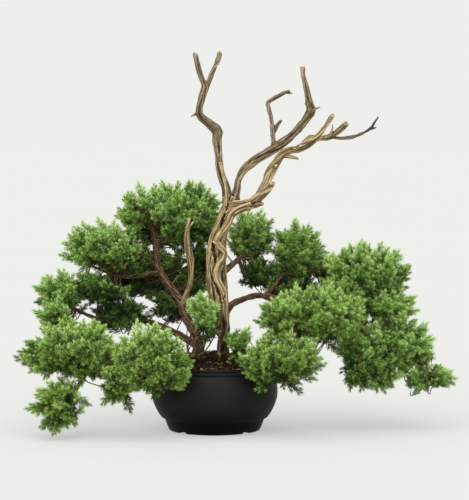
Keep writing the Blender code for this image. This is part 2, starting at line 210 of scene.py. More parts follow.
def make_floor():
    finish = Finish("floor_paint", roughness=0.9, sheen=0.0)
    finish.plug(finish.shader.inputs["Emission Color"], (*FLOOR_GLOW, 1))
    finish.plug(finish.shader.inputs["Emission Strength"], 1.0)
    cloudy = finish.noise(0.9, detail=1)
    finish.colour(finish.mix(cloudy, tuple(c * 0.985 for c in FLOOR_PAINT),
                             tuple(c * 1.015 for c in FLOOR_PAINT)))
    bpy.ops.mesh.primitive_circle_add(vertices=96, radius=80, fill_type="NGON")
    floor = bpy.context.object
    floor.name = "floor"
    floor.location.z = -0.0004
    floor.data.materials.append(finish.material)


make_floor()


# ---------------------------------------------------------------- the pot
# A round, bellied bonsai pot moulded in one piece of black plastic: a stepped foot, a wall a few
# millimetres thick and two fine lip lines under the rim. It is satin, with dust in its pores.
POT_STEPS = 144
BELLY = [(86, 21.8), (91.2, 29.2), (96.6, 40), (100.2, 50.5), (101.5, 61), (100.9, 71),
         (98.6, 80.4), (94.9, 88.6), (91.4, 93.6)]
LIP = [(90.3, 94.6), (90.2, 95.2), (91.0, 96.0), (91.3, 97.4), (91.2, 98.8), (90.6, 99.6),
       (89.6, 100.0), (88.8, 100.3), (88.6, 100.9), (89.3, 101.6), (89.6, 102.6),
       (89.5, 104.3), (88.9, 105.2), (87.8, 105.5), (86.4, 105.3), (85.7, 104.6)]
INSIDE = [(85.3, 101), (85.4, 96), (86.6, 93), (91.6, 86.4), (96.6, 76), (98.1, 61),
          (94.6, 44), (87, 30.5), (76, 16), (70, 6)]
FOOT = [(70.5, 0.0), (72.6, 0.5), (74.0, 2.4), (76.4, 8), (78.6, 14), (80.2, 18.4),
        (81.2, 20.0), (83.4, 20.6), (85.2, 21.0)]


def curve_through(points, pieces):
    """Points of a smooth curve through the given ones, in any number of columns."""
    p = np.array(points, float)
    p = np.vstack([2 * p[0] - p[1], p, 2 * p[-1] - p[-2]])
    t = (np.arange(pieces) / pieces)[:, None, None]
    a, b, c, d = p[:-3], p[1:-2], p[2:-1], p[3:]
    found = 0.5 * (2 * b + (c - a) * t + (2 * a - 5 * b + 4 * c - d) * t ** 2
                   + (3 * b - a - 3 * c + d) * t ** 3)
    return np.vstack([found.transpose(1, 0, 2).reshape(-1, p.shape[1]), p[-2]])


def settle(made):
    """Applies an object's modifiers to its mesh."""
    bpy.context.view_layer.update()
    seen = made.evaluated_get(bpy.context.evaluated_depsgraph_get())
    result = bpy.data.meshes.new_from_object(seen)
    made.modifiers.clear()
    made.data = result
    return made


def turned(name, outline, steps):
    """A solid of revolution about Z from an outline in millimetres, down its outer side."""
    mesh = bpy.data.meshes.new(name)
    rows = [(radius * MM, 0.0, height * MM) for radius, height in outline]
    mesh.from_pydata(rows, [(i, i + 1) for i in range(len(rows) - 1)], [])
    made = bpy.data.objects.new(name, mesh)
    scene.collection.objects.link(made)
    spin = made.modifiers.new("turn", "SCREW")
    spin.steps = spin.render_steps = steps
    spin.use_merge_vertices = True
    spin.merge_threshold = 0.00002
    settle(made)
    made.data.shade_smooth()
    made.data.set_sharp_from_angle(angle=math.radians(38))
    return made


def cut(made, shape, transform):
    """Cuts a primitive, placed by the transform, out of an object and removes it."""
    shape()
    tool = bpy.context.object
    tool.data.transform(transform)
    step = made.modifiers.new("cut", "BOOLEAN")
    step.operation = "DIFFERENCE"
    step.object = tool
    settle(made)
    bpy.data.objects.remove(tool, do_unlink=True)


def pot_plastic():
    """Satin black, a little greyer where dust has settled, with a few pale specks. Painted shade
    darkens it to near black towards the foot.
    """
    finish = Finish("pot_plastic", sheen=0.07)
    spot = finish.node("ShaderNodeTexCoord", {}, {}, "Object")
    height = finish.node("ShaderNodeSeparateXYZ", {}, {0: spot}, 2)
    haze = finish.noise(24, detail=4)
    pores = finish.noise(900, detail=2)
    dust = (haze * 1.8 - 0.62).held()
    specks = finish.node("ShaderNodeTexVoronoi", {"feature": "F1"}, {"Scale": 150.0})
    near = (0.10 - specks).held() * 14.0
    sparse = finish.noise(45, detail=1) > 0.62
    faded = finish.mix(dust * 0.5, (0.0075, 0.0079, 0.0068), (0.016, 0.0166, 0.0140))
    # painted shade: the colour falls to near black towards the foot
    black = finish.mix((height * 45.0 - 1.0).held(), (0.0006, 0.0006, 0.0005), faded)
    finish.colour(finish.mix((near * sparse).held() * 0.5, black, (0.20, 0.19, 0.16)))
    finish.roughness(0.42 + dust * 0.16 + pores * 0.08)
    finish.bump(pores, 0.00006, 0.5)
    return finish.material


def make_pot():
    outline = [(0, 6), *reversed(INSIDE), *reversed(LIP), *reversed(BELLY), *reversed(FOOT), (0, 0)]
    smooth = [outline[0]]
    inner = curve_through(list(reversed(INSIDE)), 4)
    belly = curve_through(list(reversed(BELLY)), 4)
    smooth += [*map(tuple, inner), *reversed(LIP), *map(tuple, belly), *reversed(FOOT), (0, 0)]
    pot = turned("pot_body", smooth, POT_STEPS)
    for i in range(4):
        turn = Matrix.Rotation(math.radians(45 + 90 * i), 4, "Z")
        groove = turn @ Matrix.Translation((58 * MM, 0, 0)) @ Matrix.Diagonal(
            (48 * MM, 18 * MM, 6 * MM, 1))
        cut(pot, lambda: bpy.ops.mesh.primitive_cube_add(size=1), groove)
        hole = turn @ Matrix.Translation((42 * MM, 0, 0))
        cut(pot, lambda: bpy.ops.mesh.primitive_cylinder_add(
            vertices=24, radius=6 * MM, depth=24 * MM), hole)
    pot.data.shade_smooth()
    pot.data.set_sharp_from_angle(angle=math.radians(38))
    pot.data.materials.append(pot_plastic())
    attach(pot, "root")
    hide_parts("pot")


make_pot()


# ---------------------------------------------------------------- the drain screens
# Discs of black woven plastic that lie over the four holes in the pot's floor, so that water runs
# out and the soil stays in. The strands pass over and under each other.
SCREEN_PITCH = 1.9
SCREEN_STRAND = 0.42


def solid(name, points, triangles, numbers=None, smooth=True):
    """An object from arrays of points and triangles, with numbers stored at its points."""
    mesh = bpy.data.meshes.new(name)
    mesh.vertices.add(len(points))
    mesh.vertices.foreach_set("co", np.asarray(points, np.float32).ravel())
    mesh.loops.add(3 * len(triangles))
    mesh.loops.foreach_set("vertex_index", np.asarray(triangles, np.int32).ravel())
    mesh.polygons.add(len(triangles))
    mesh.polygons.foreach_set("loop_start", np.arange(0, 3 * len(triangles), 3, dtype=np.int32))
    mesh.update(calc_edges=True)
    for key, values in (numbers or {}).items():
        store(mesh, key, values)
    if smooth:
        mesh.shade_smooth()
    made = bpy.data.objects.new(name, mesh)
    scene.collection.objects.link(made)
    return made


def store(mesh, key, values):
    values = np.asarray(values, np.float32)
    if values.ndim == 1:
        mesh.attributes.new(key, "FLOAT", "POINT").data.foreach_set("value", values)
    else:
        mesh.attributes.new(key, "FLOAT_VECTOR", "POINT").data.foreach_set(
            "vector", values.ravel())


def frames_along(points):
    """Unit directions along a route, with two more square to it that turn as little as they can."""
    ahead = np.gradient(points, axis=0)
    ahead /= np.linalg.norm(ahead, axis=1)[:, None]
    side = np.cross(ahead[0], (0.31, 0.87, 0.38))
    sides = []
    for way in ahead:
        side = side - way * (side @ way)
        side /= np.linalg.norm(side)
        sides.append(side)
    sides = np.array(sides)
    return ahead, sides, np.cross(ahead, sides)


def sweep(points, radii, sides, shape=None):
    """A closed tube: points, triangles, the distance along and the angle round at each point.
    The shape gives a factor on the radius for a distance along and an angle."""
    _, side, over = frames_along(points)
    along = np.concatenate([[0], np.cumsum(np.linalg.norm(np.diff(points, axis=0), axis=1))])
    angle = np.arange(sides) * 2 * math.pi / sides
    grid_s, grid_a = np.meshgrid(along, angle, indexing="ij")
    radius = radii[:, None] * (shape(grid_s, grid_a) if shape else 1.0)
    rings = (points[:, None] + side[:, None] * (np.cos(grid_a) * radius)[..., None]
             + over[:, None] * (np.sin(grid_a) * radius)[..., None])
    rows = len(points)
    a = np.arange(sides)
    b = (a + 1) % sides
    start = (np.arange(rows - 1) * sides)[:, None]
    near, far = start + a, start + b
    quads = [np.stack([near, far, far + sides], -1), np.stack([near, far + sides, near + sides], -1)]
    ends = rows * sides
    last = (rows - 1) * sides
    caps = [np.stack([b, a, np.full(sides, ends)], -1),
            np.stack([last + a, last + b, np.full(sides, ends + 1)], -1)]
    triangles = np.vstack([q.reshape(-1, 3) for q in quads] + caps)
    every = np.vstack([rings.reshape(-1, 3), points[0], points[-1]])
    s = np.concatenate([grid_s.ravel(), along[[0, -1]]])
    return every, triangles, s, np.concatenate([grid_a.ravel(), [0, 0]])


def joined(shapes):
    """Several (points, triangles) in one pair of arrays."""
    starts = np.cumsum([0] + [len(points) for points, _ in shapes])
    return (np.vstack([points for points, _ in shapes]),
            np.vstack([triangles + start for (_, triangles), start in zip(shapes, starts)]))


def make_screens():
    finish = Finish("screen_plastic", roughness=0.55)
    finish.colour(finish.mix(finish.noise(300), (0.02, 0.02, 0.021), (0.05, 0.05, 0.048)))
    for i in range(1, 5):
        low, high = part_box(f"drain_screen_{i}")
        middle, reach = (low + high) / 2, (high.x - low.x) / 2
        strands = []
        count = int(reach / (SCREEN_PITCH * MM))
        for k in range(-count, count + 1):
            for across in (0, 1):
                offset = k * SCREEN_PITCH * MM
                half = math.sqrt(max(reach ** 2 - offset ** 2, 0)) - 0.4 * MM
                t = np.linspace(-half, half, 2 * count + 3)
                wave = 0.14 * MM * np.cos(t / (SCREEN_PITCH * MM) * math.pi + math.pi * (k + across))
                run = np.stack([t, np.full_like(t, offset), wave], -1)
                run = run[:, [1, 0, 2]] if across else run
                radii = np.full(len(t), SCREEN_STRAND * MM)
                strands.append(sweep(run + np.array(middle), radii, 5)[:2])
        screen = solid(f"woven_screen_{i}", *joined(strands))
        screen.data.materials.append(finish.material)
        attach(screen, "root")
        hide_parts(f"drain_screen_{i}")


make_screens()


# ---------------------------------------------------------------- the soil
# Dark, bark-based potting mix, mounded up to the trunk and holding the root ball. On it lie
# crumbs, tan bark chips and a mat of fine reddish roots that has come to the top.
MOUND_TOP = 124.0
MOUND_EDGE = 97.0
MOUND_RADIUS = 80.0
CRUMBS = 3600
FIBRES = 900
CHIPS = 110


def mound_height(radius):
    spread = np.minimum(1.0, radius / MOUND_RADIUS)
    return MOUND_EDGE + (MOUND_TOP - MOUND_EDGE) * (1 - spread ** 1.6) ** 1.15


def copies(shape, turns, spots):
    """Turned and moved copies of one small shape."""
    points, triangles = shape
    placed = np.einsum("kij,nj->kni", turns, points) + spots[:, None]
    starts = (np.arange(len(spots)) * len(points))[:, None, None]
    return placed.reshape(-1, 3), (triangles[None] + starts).reshape(-1, 3)


def turns_about(way, roll):
    """Rotation matrices that take Z to each direction, rolled about it."""
    way = way / np.linalg.norm(way, axis=1)[:, None]
    helper = np.where(np.abs(way[:, 2:]) < 0.9, [[0.0, 0.0, 1.0]], [[1.0, 0.0, 0.0]])
    side = np.cross(helper, way)
    side /= np.linalg.norm(side, axis=1)[:, None]
    over = np.cross(way, side)
    c, s = np.cos(roll)[:, None], np.sin(roll)[:, None]
    return np.stack([side * c + over * s, over * c - side * s, way], -1)


def lump(rng, rough):
    """One irregular crumb about 1 across."""
    shape = bmesh.new()
    bmesh.ops.create_icosphere(shape, subdivisions=1, radius=0.5)
    points = np.array([v.co[:] for v in shape.verts])
    triangles = np.array([[v.index for v in f.verts] for f in shape.faces])
    shape.free()
    return points * (1 + rng.uniform(-rough, rough, (len(points), 1))), triangles


def on_mound(rng, count, inner, outer):
    """Places spread over the mound, with the slope's outward lean at each."""
    radius = np.sqrt(rng.uniform(inner ** 2, outer ** 2, count))
    angle = rng.uniform(0, 2 * math.pi, count)
    spots = np.stack([radius * np.cos(angle), radius * np.sin(angle), mound_height(radius)], -1)
    slope = (mound_height(radius - 1) - mound_height(radius + 1)) / 2
    up = np.stack([np.cos(angle) * slope, np.sin(angle) * slope, np.ones(count)], -1)
    return spots * MM, up / np.linalg.norm(up, axis=1)[:, None]


def soil_finish(name):
    """Earth colours picked by a stored number: 0 black mould, 0.5 brown, 1 tan bark."""
    finish = Finish(name, roughness=0.9, sheen=0.08)
    grit = finish.noise(700, detail=3)
    kind = finish.number("kind")
    earth = finish.ramp((kind + (grit - 0.5) * 0.25).held(),
                        (0.0, (0.0015, 0.0010, 0.0006)), (0.3, (0.007, 0.004, 0.0018)),
                        (0.55, (0.022, 0.011, 0.0045)), (0.8, (0.095, 0.056, 0.024)),
                        (1.0, (0.34, 0.25, 0.14)))
    finish.colour(finish.mix(grit * 0.5, earth, (0.010, 0.007, 0.004)))
    finish.bump(grit, 0.0004)
    return finish.material


def make_soil():
    low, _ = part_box("soil")
    radii = np.linspace(0, MOUND_RADIUS, 34)
    top = list(zip(radii, mound_height(radii)))
    side = [(84.7, 94), (90.6, 86.4), (95.6, 76), (97.0, 61), (93.6, 44), (86.2, 31), (75.2, 17)]
    outline = [*top, (84.6, MOUND_EDGE), *side, (69, low.z / MM), (0, low.z / MM)]
    soil = turned("soil_mound", outline, 96)
    kind = []
    for vertex in soil.data.vertices:
        bumps = noise.fractal(vertex.co * 130, 0.9, 2.0, 4)
        if vertex.co.z > (MOUND_EDGE + 0.1) * MM:
            vertex.co.z += (1.6 * bumps - 0.6) * MM
        kind.append(0.12 + 0.12 * bumps)
    store(soil.data, "kind", kind)
    soil.data.materials.append(soil_finish("soil_mix"))
    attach(soil, "root")
    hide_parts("soil")

    rng = np.random.default_rng(11)
    shapes, kinds = [], []
    for rough in (0.22, 0.3, 0.38):
        count = CRUMBS // 3
        spots, up = on_mound(rng, count, 8, 84)
        size = rng.gamma(4, 0.55, (count, 1)) + 0.7
        flat = np.stack([size[:, 0], size[:, 0] * rng.uniform(0.5, 1, count),
                         size[:, 0] * rng.uniform(0.4, 0.8, count)], -1) * MM
        turns = turns_about(rng.normal(size=(count, 3)), rng.uniform(0, 6.28, count))
        shapes.append(copies(lump(rng, rough), turns * flat[:, None], spots + up * 0.4 * MM))
        kinds.append(np.repeat(rng.beta(1.3, 3.2, count), 12))
    for _ in range(CHIPS):
        shapes.append(bark_chip(rng))
        kinds.append(np.full(len(shapes[-1][0]), rng.uniform(0.5, 0.95)))
    for _ in range(FIBRES):
        shapes.append(fibre(rng))
        kinds.append(np.full(len(shapes[-1][0]), rng.beta(3, 2.4)))
    litter = solid("soil_litter", *joined(shapes), {"kind": np.concatenate(kinds)}, smooth=False)
    litter.data.materials.append(soil_finish("litter_mix"))
    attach(litter, "root")
    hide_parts(*[f"bark_chip_{i}" for i in range(1, 7)])


def bark_chip(rng):
    """A torn flake of bark: a thin bent plate with ragged ends."""
    spot, up = on_mound(rng, 1, 14, 80)
    length, width, thick = rng.uniform(5, 15), rng.uniform(3, 7), rng.uniform(0.7, 1.6)
    t = np.linspace(-0.5, 0.5, 5)
    bend = rng.uniform(-1.5, 2.0)
    run = np.stack([t * length, rng.normal(0, 0.3, 5), bend * (0.25 - t ** 2) * 4], -1)
    points, triangles, _, _ = sweep(run, np.full(5, 0.5), 6)
    centre = np.vstack([np.repeat(run, 6, 0), run[0], run[-1]])
    wide = (width * (1 - 0.5 * rng.random(5) * (np.abs(t) > 0.3)))
    wide = np.append(np.repeat(wide, 6), [1, 1])[:, None]
    points = centre + (points - centre) * np.hstack([wide * 0 + 1, wide, wide * 0 + thick])
    turn = turns_about(up + rng.normal(0, 0.28, (1, 3)), rng.uniform(0, 6.28, 1))[0]
    return points * MM @ turn.T + spot + up * 1.4 * MM, triangles


def fibre(rng):
    """A fine root that wanders over the surface and dips into it at its ends."""
    spot, _ = on_mound(rng, 1, 10, 82)
    count = 7
    heading = rng.uniform(0, 6.28) + np.cumsum(rng.normal(0, 0.45, count))
    step = rng.uniform(1.6, 5.0)
    run = np.cumsum(np.stack([np.cos(heading), np.sin(heading)], -1) * step, 0)
    run = run + spot[0, :2] / MM
    radius = np.minimum(np.linalg.norm(run, axis=1), 84)
    arch = np.sin(np.linspace(0, math.pi, count)) * rng.uniform(0.5, 3.5) + 0.3
    height = mound_height(radius) + arch
    run = np.hstack([run * (radius / np.linalg.norm(run, axis=1))[:, None], height[:, None]])
    radii = np.linspace(1, 0.6, count) * rng.uniform(0.2, 0.55)
    points, triangles, _, _ = sweep(run, radii, 4)
    return points * MM, triangles


make_soil()


# ---------------------------------------------------------------- the dead trunk
# Silvery tan wood, long dead and stripped of bark. Strands as thick as a finger twist round each
# other up the trunk and part into three bare limbs, grained, cracked and snapped off short.
# Every route point is (x, y, z, radius) in millimetres.
TRUNK = [(10, 2, 92, 15), (10, 0, 112, 12.5), (13, 0, 128, 9.5), (15, 0, 146, 8.2),
         (14, -2, 160, 9), (14, -3, 176, 8.2), (11, -4, 192, 9.5), (7, -4, 209, 9.5),
         (5, -3, 231, 10), (3, 0, 254, 9.5), (4, 2, 273, 10), (6, 3, 289, 11),
         (8, 2, 303, 10.5), (10, 0, 319, 9.5), (14, -2, 335, 9.5), (18, -3, 350, 10.5),
         (23, -3, 366, 8)]
STRAND_LEFT = [(16, -6, 104, 6), (19, -6, 126, 5), (15, -8, 148, 5.2), (8, -8, 168, 5.4),
               (1, -8, 190, 6), (-5, -8, 214, 6), (-8, -7, 245, 5.2), (-9, -6, 274, 5),
               (-6, -7, 296, 5), (1, -9, 318, 5.4), (10, -10, 340, 5), (19, -8, 362, 4.5),
               (18, -4, 392, 3.6), (9, 0, 430, 3)]
STRAND_FRONT = [(9, -8, 130, 4.4), (16, -9, 150, 4.6), (20, -10, 170, 4.6),
                (17, -12, 190, 4.8), (16, -14, 206, 5), (12, -16, 226, 5.4),
                (3, -17, 244, 5.6), (4, -16, 262, 5.2), (14, -15, 276, 5.4),
                (16, -15, 286, 5.6), (8, -16, 296, 5.8), (4, -16, 306, 5.8),
                (14, -16, 320, 5.8), (23, -16, 333, 5.8), (30, -16, 348, 6),
                (42, -19, 358, 6.4), (60, -28, 366, 5.8)]
STRAND_SECOND = [(6, -9, 112, 4), (9, -9, 140, 4), (8, -11, 172, 4.2), (4, -12, 200, 4.4),
                 (7, -12, 226, 4.2), (-1, -12, 250, 4), (-2, -10, 274, 4.2),
                 (9, -9, 300, 4.6), (17, -9, 326, 5), (21, -10, 350, 5), (30, -4, 374, 4)]
STRAND_BACK = [(16, 8, 100, 6), (19, 7, 140, 5), (20, 6, 180, 5), (17, 4, 220, 5.5),
               (12, 7, 262, 6), (14, 10, 300, 6), (20, 7, 336, 6), (28, 4, 366, 5),
               (36, 8, 392, 3.6)]
LIMB_LEFT = [(21, -2, 350, 9.5), (18, 1, 384, 7.2), (10, 6, 410, 6.9), (6, 10, 438, 6.8),
             (4, 13, 463, 7), (4, 14, 479, 7.3), (-7, 12, 491, 7), (-21, 6, 502, 6.4),
             (-24, 2, 512, 6.5), (-21, -2, 525, 6.2), (-16, -4, 543, 5.9), (-15, -4, 551, 5.5),
             (-21, -10, 566, 5.1), (-26, -18, 582, 4.8), (-30, -26, 600, 4.4)]
LIMB_LEFT_TWIG = [(-16, -4, 541, 5), (-6, 6, 566, 4.5), (2, 18, 585, 4.3), (8, 30, 604, 4)]
LIMB_LEFT_SPUR = [(-18, 6, 503, 3.4), (-30, 2, 506, 2.6), (-38, -2, 502, 1.0)]
LIMB_MIDDLE = [(26, 0, 348, 8), (33, 2, 366, 6.6), (36, 6, 382, 6), (38, 10, 400, 6.5),
               (47, 14, 416, 7), (63, 18, 430, 7.3), (80, 20, 442, 7.5), (97, 20, 453, 7.7),
               (116, 18, 466, 7.1), (131, 14, 480, 6.7), (145, 8, 497, 6.4),
               (154, 2, 511, 6.4), (151, -2, 525, 5.3), (146, -8, 549, 4.8),
               (141, -14, 568, 4.6), (140, -16, 578, 4.2)]
LIMB_MIDDLE_SPUR = [(152, 1, 508, 3.8), (160, -3, 514, 2.6), (168, -6, 517, 1.2)]
LIMB_MIDDLE_TWIG = [(96, 20, 449, 4.8), (94, 26, 476, 4.5), (91, 34, 498, 4.2),
                    (87, 40, 516, 4), (86, 42, 525, 3.9), (95, 40, 532, 3.7),
                    (110, 36, 540, 3.3), (120, 32, 544, 2.6)]
LIMB_MIDDLE_FORK = [(114, 35, 541, 2.2), (120, 34, 540, 1.8), (125, 32, 540, 1.0)]
LIMB_MIDDLE_STUB = [(92, 27, 470, 3.2), (100, 30, 487, 3.2), (107, 34, 496, 2.6)]
LIMB_RIGHT = [(16, -4, 342, 8), (27, -12, 357, 8), (46, -20, 363, 7.6), (62, -26, 368, 7.6),
              (73, -30, 376, 7.9), (83, -34, 387, 7.2), (91, -38, 397, 5.4)]
LIMB_RIGHT_LOW = [(26, -14, 343, 4.6), (40, -20, 352, 5), (56, -25, 359, 5), (70, -29, 364, 4.4),
                  (78, -32, 364, 2.6)]
LIMB_RIGHT_MAIN = [(64, -27, 368, 6), (78, -20, 391, 6.5), (89, -12, 413, 7),
                   (98, -6, 430, 6.8), (108, -3, 443, 6.6), (120, -4, 449, 6.2),
                   (135, -10, 452, 5.8), (152, -18, 460, 5.4), (165, -26, 472, 4.4),
                   (176, -34, 487, 4), (187, -42, 504, 3.8)]
LIMB_RIGHT_UNDER = [(108, -6, 440, 3.8), (122, -10, 438, 3.2), (134, -14, 435, 1.8)]
LIMB_RIGHT_UPPER = [(135, -10, 451, 4.8), (146, -4, 463, 5), (155, 2, 469, 4.9),
                    (168, 4, 467, 4.4), (186, 2, 471, 4.4), (200, -2, 480, 4.8),
                    (210, -6, 490, 4.6)]
LIMB_RIGHT_SPUR = [(186, 2, 473, 2.8), (188, 0, 482, 1.8), (188, -2, 490, 1.0)]
LIMB_RIGHT_TIP = [(182, 2, 469, 3), (206, 10, 468, 2.8), (225, 18, 471, 2.8),
                  (241, 24, 477, 2.7), (252, 28, 484, 2.4), (257, 30, 492, 2.1),
                  (264, 32, 502, 1.7)]
LIMB_RIGHT_BARB = [(246, 26, 481, 1.8), (254, 30, 483, 1.4), (261, 31, 485, 0.9)]
ROOTS = [
    [(4, -4, 120, 7), (-8, -10, 116, 6), (-22, -18, 113, 5), (-36, -30, 107, 3.4)],
    [(16, -4, 120, 7), (27, -12, 116, 6), (42, -17, 112, 5), (56, -22, 103, 3)],
    [(10, 6, 120, 8), (14, 22, 115, 6), (22, 38, 109, 4.6), (27, 50, 102, 3)],
    [(8, -8, 118, 6), (10, -22, 114, 5), (8, -36, 110, 4), (12, -50, 102, 2.6)],
]
# How many thin strands wind round each limb, how far they turn, how grey it has weathered, and
# whether its end is snapped off.
DEAD_LIMBS = [
    (TRUNK, 4, 1.2, 0.2, False), (STRAND_LEFT, 0, 0, 0.1, False),
    (STRAND_FRONT, 1, 1.2, 0.0, False), (STRAND_SECOND, 1, 1.5, 0.15, False),
    (STRAND_BACK, 1, 1.0, 0.3, False), (LIMB_LEFT, 2, 1.0, 0.75, True),
    (LIMB_LEFT_TWIG, 1, 0.5, 0.9, True), (LIMB_LEFT_SPUR, 0, 0, 0.8, False),
    (LIMB_MIDDLE, 2, 1.2, 0.65, True), (LIMB_MIDDLE_SPUR, 0, 0, 0.8, True),
    (LIMB_MIDDLE_TWIG, 1, 0.6, 1.0, True), (LIMB_MIDDLE_FORK, 0, 0, 1.0, False),
    (LIMB_MIDDLE_STUB, 0, 0, 0.9, True), (LIMB_RIGHT, 3, 0.8, 0.35, True),
    (LIMB_RIGHT_LOW, 1, 0.6, 0.2, False), (LIMB_RIGHT_MAIN, 2, 1.3, 0.15, True),
    (LIMB_RIGHT_UNDER, 0, 0, 0.3, False), (LIMB_RIGHT_UPPER, 2, 0.8, 0.4, True),
    (LIMB_RIGHT_SPUR, 0, 0, 0.9, False), (LIMB_RIGHT_TIP, 1, 0.8, 1.15, False),
    (LIMB_RIGHT_BARB, 0, 0, 1.3, False), *[(root, 1, 0.4, 0.2, False) for root in ROOTS],
]
DEAD_STUB = [(-56, 32, 194, 4.6), (-50, 30, 205, 5), (-46, 28, 217, 4.9), (-41, 26, 229, 5),
             (-38, 24, 247, 5.2), (-38, 22, 267, 5.2), (-42, 20, 287, 5), (-44, 18, 307, 4.6),
             (-43, 16, 323, 4), (-41, 14, 338, 3.2)]
DEAD_STUB_NUB = [(-41, 16, 326, 2.6), (-36, 14, 331, 2.0), (-34, 13, 334, 1.2)]
# Rotted hollows between the strands: foot and head of each, half width and depth.
HOLLOWS = [
    ((2, -12, 270), (-3, -12, 300), 5.0, 6.0), ((10, -12, 210), (-1, -12, 247), 4.2, 5.5),
    ((13, -12, 196), (17, -12, 228), 3.2, 4.0), ((10, -12, 325), (16, -12, 348), 4.4, 5.0),
    ((18, -10, 349), (23, -10, 364), 3.6, 4.5), ((5, -12, 150), (9, -12, 172), 3.4, 3.5),
    ((100, -20, 430), (112, -20, 440), 3.4, 3.5), ((56, 4, 424), (74, 6, 436), 2.2, 2.5),
    ((6, -2, 440), (3, 2, 468), 2.2, 2.5),
]
VOXEL = 0.85


def dense(route, spacing):
    """Points every so many millimetres along a smooth curve, in metres, and the radii there."""
    fine = curve_through(route, 12)
    along = np.concatenate([[0], np.cumsum(np.linalg.norm(np.diff(fine[:, :3], axis=0), axis=1))])
    marks = np.linspace(0, along[-1], max(3, int(along[-1] / spacing)))
    found = np.stack([np.interp(marks, along, fine[:, k]) for k in range(4)], -1)
    return found[:, :3] * MM, np.maximum(found[:, 3], 0.3) * MM


def waves(rng, depth, orders=(2, 3, 5), twist=12.0):
    """Broad ridges that run along a limb, wander and merge: what they add to its radius."""
    found = [(order, depth / order ** 0.5, rng.uniform(0, 6.28, 3), rng.uniform(0.7, 1.3, 2))
             for order in orders]

    def shape(s, angle):
        total = np.zeros_like(s)
        for order, height, (phase, drift, swell), (slow, fast) in found:
            wander = 1.6 * np.sin(s * 38 * slow + drift) + 0.8 * np.sin(s * 97 * fast + swell)
            fade = 0.75 + 0.25 * np.sin(s * 61 * slow + phase)
            total += height * fade * np.cos(order * angle + twist * s * order ** 0.5 + wander + phase)
        return total + 0.5 * depth * np.sin(s * 130 * found[0][3][0] + found[0][2][0])
    return shape


def cracks(rng, orders, twist=12.0):
    """Narrow grooves that run along a limb, open and close: 0 on the wood and 1 in the deepest."""
    found = [(order, rng.uniform(0, 6.28, 3), rng.uniform(0.7, 1.3, 2)) for order in orders]

    def shape(s, angle):
        total = np.zeros_like(s)
        for order, (phase, drift, swell), (slow, fast) in found:
            wander = 1.3 * np.sin(s * 52 * slow + drift) + 0.7 * np.sin(s * 131 * fast + swell)
            place = order * angle + twist * s * order ** 0.5 + wander + phase
            open_here = 0.62 + 0.38 * np.sin(s * 47 * fast + phase)
            total = np.maximum(total, (1 - np.abs(np.sin(place / 2))) ** 2.2 * open_here)
        return total
    return shape


def winding(points, radii, turns, start, out=0.72, thick=0.46):
    """The route of a thin strand that winds round a limb, half sunk in it."""
    _, side, over = frames_along(points)
    angle = start + np.linspace(0, 2 * math.pi * turns, len(points))
    angle = angle + 0.5 * np.sin(np.linspace(0, 9, len(points)) + start)
    reach = (radii * out)[:, None]
    path = points + side * np.cos(angle)[:, None] * reach + over * np.sin(angle)[:, None] * reach
    return path, radii * thick


def stubs(rng, points, radii, snapped):
    """Routes of the knots along a limb and of the splinters at its snapped end."""
    ahead, side, over = frames_along(points)
    found = []
    for i in range(int(rng.integers(12, 26)), len(points) - 12, 36):
        i = min(len(points) - 3, i + int(rng.integers(-7, 8)))
        angle = rng.uniform(0, 6.28)
        out = side[i] * math.cos(angle) + over[i] * math.sin(angle) + ahead[i] * 1.1
        reach = radii[i] * np.array([0.3, 0.8, rng.uniform(1.0, 1.3)])[:, None]
        found.append((points[i] + out * reach, radii[i] * np.array([0.6, 0.42, 0.16])))
    for angle in np.arange(5) * 1.26 + rng.uniform(0, 6.28) if snapped else []:
        out = side[-1] * math.cos(angle) + over[-1] * math.sin(angle)
        start = points[-1] + out * radii[-1] * 0.52 - ahead[-1] * 2 * MM
        tall = (2 + rng.uniform(0.6, 1.0) * radii[-1] / MM * rng.choice([0.35, 1.1])) * MM
        path = start + (ahead[-1] + out * 0.12) * np.array([0, 0.6, 1.0])[:, None] * tall
        found.append((path, radii[-1] * np.array([0.5, 0.42, 0.2])))
    return found


def hollows(mesh, rounds):
    """How deep each vertex lies in a crack (above 0) or on a ridge (below 0), in millimetres."""
    count = len(mesh.vertices)
    points = np.empty(count * 3, np.float32)
    mesh.vertices.foreach_get("co", points)
    points = points.reshape(-1, 3).astype(float)
    normals = np.empty(count * 3, np.float32)
    mesh.vertex_normals.foreach_get("vector", normals)
    edges = np.empty(len(mesh.edges) * 2, np.int32)
    mesh.edges.foreach_get("vertices", edges)
    a, b = edges.reshape(-1, 2).T
    degree = np.bincount(np.concatenate([a, b]), minlength=count)[:, None]
    smooth = points.copy()
    for _ in range(rounds):
        total = np.stack([np.bincount(a, smooth[b, k], count) + np.bincount(b, smooth[a, k], count)
                          for k in range(3)], -1)
        smooth = 0.5 * smooth + 0.5 * total / np.maximum(degree, 1)
    return ((smooth - points) * normals.reshape(-1, 3)).sum(1) / MM


def near_hollow(points, foot, head, width):
    """1 on the line of a hollow, falling to 0 at its edge."""
    foot, head = np.array(foot) * MM, np.array(head) * MM
    way = head - foot
    t = np.clip((points - foot) @ way / (way @ way), 0, 1)[:, None]
    away = points - (foot + way * t)
    away[:, 1] *= 0.35
    narrow = 0.45 + 0.55 * np.sin(math.pi * np.clip(t[:, 0], 0.02, 0.98))
    return np.clip(1 - np.linalg.norm(away, axis=1) / (width * MM * narrow), 0, 1)


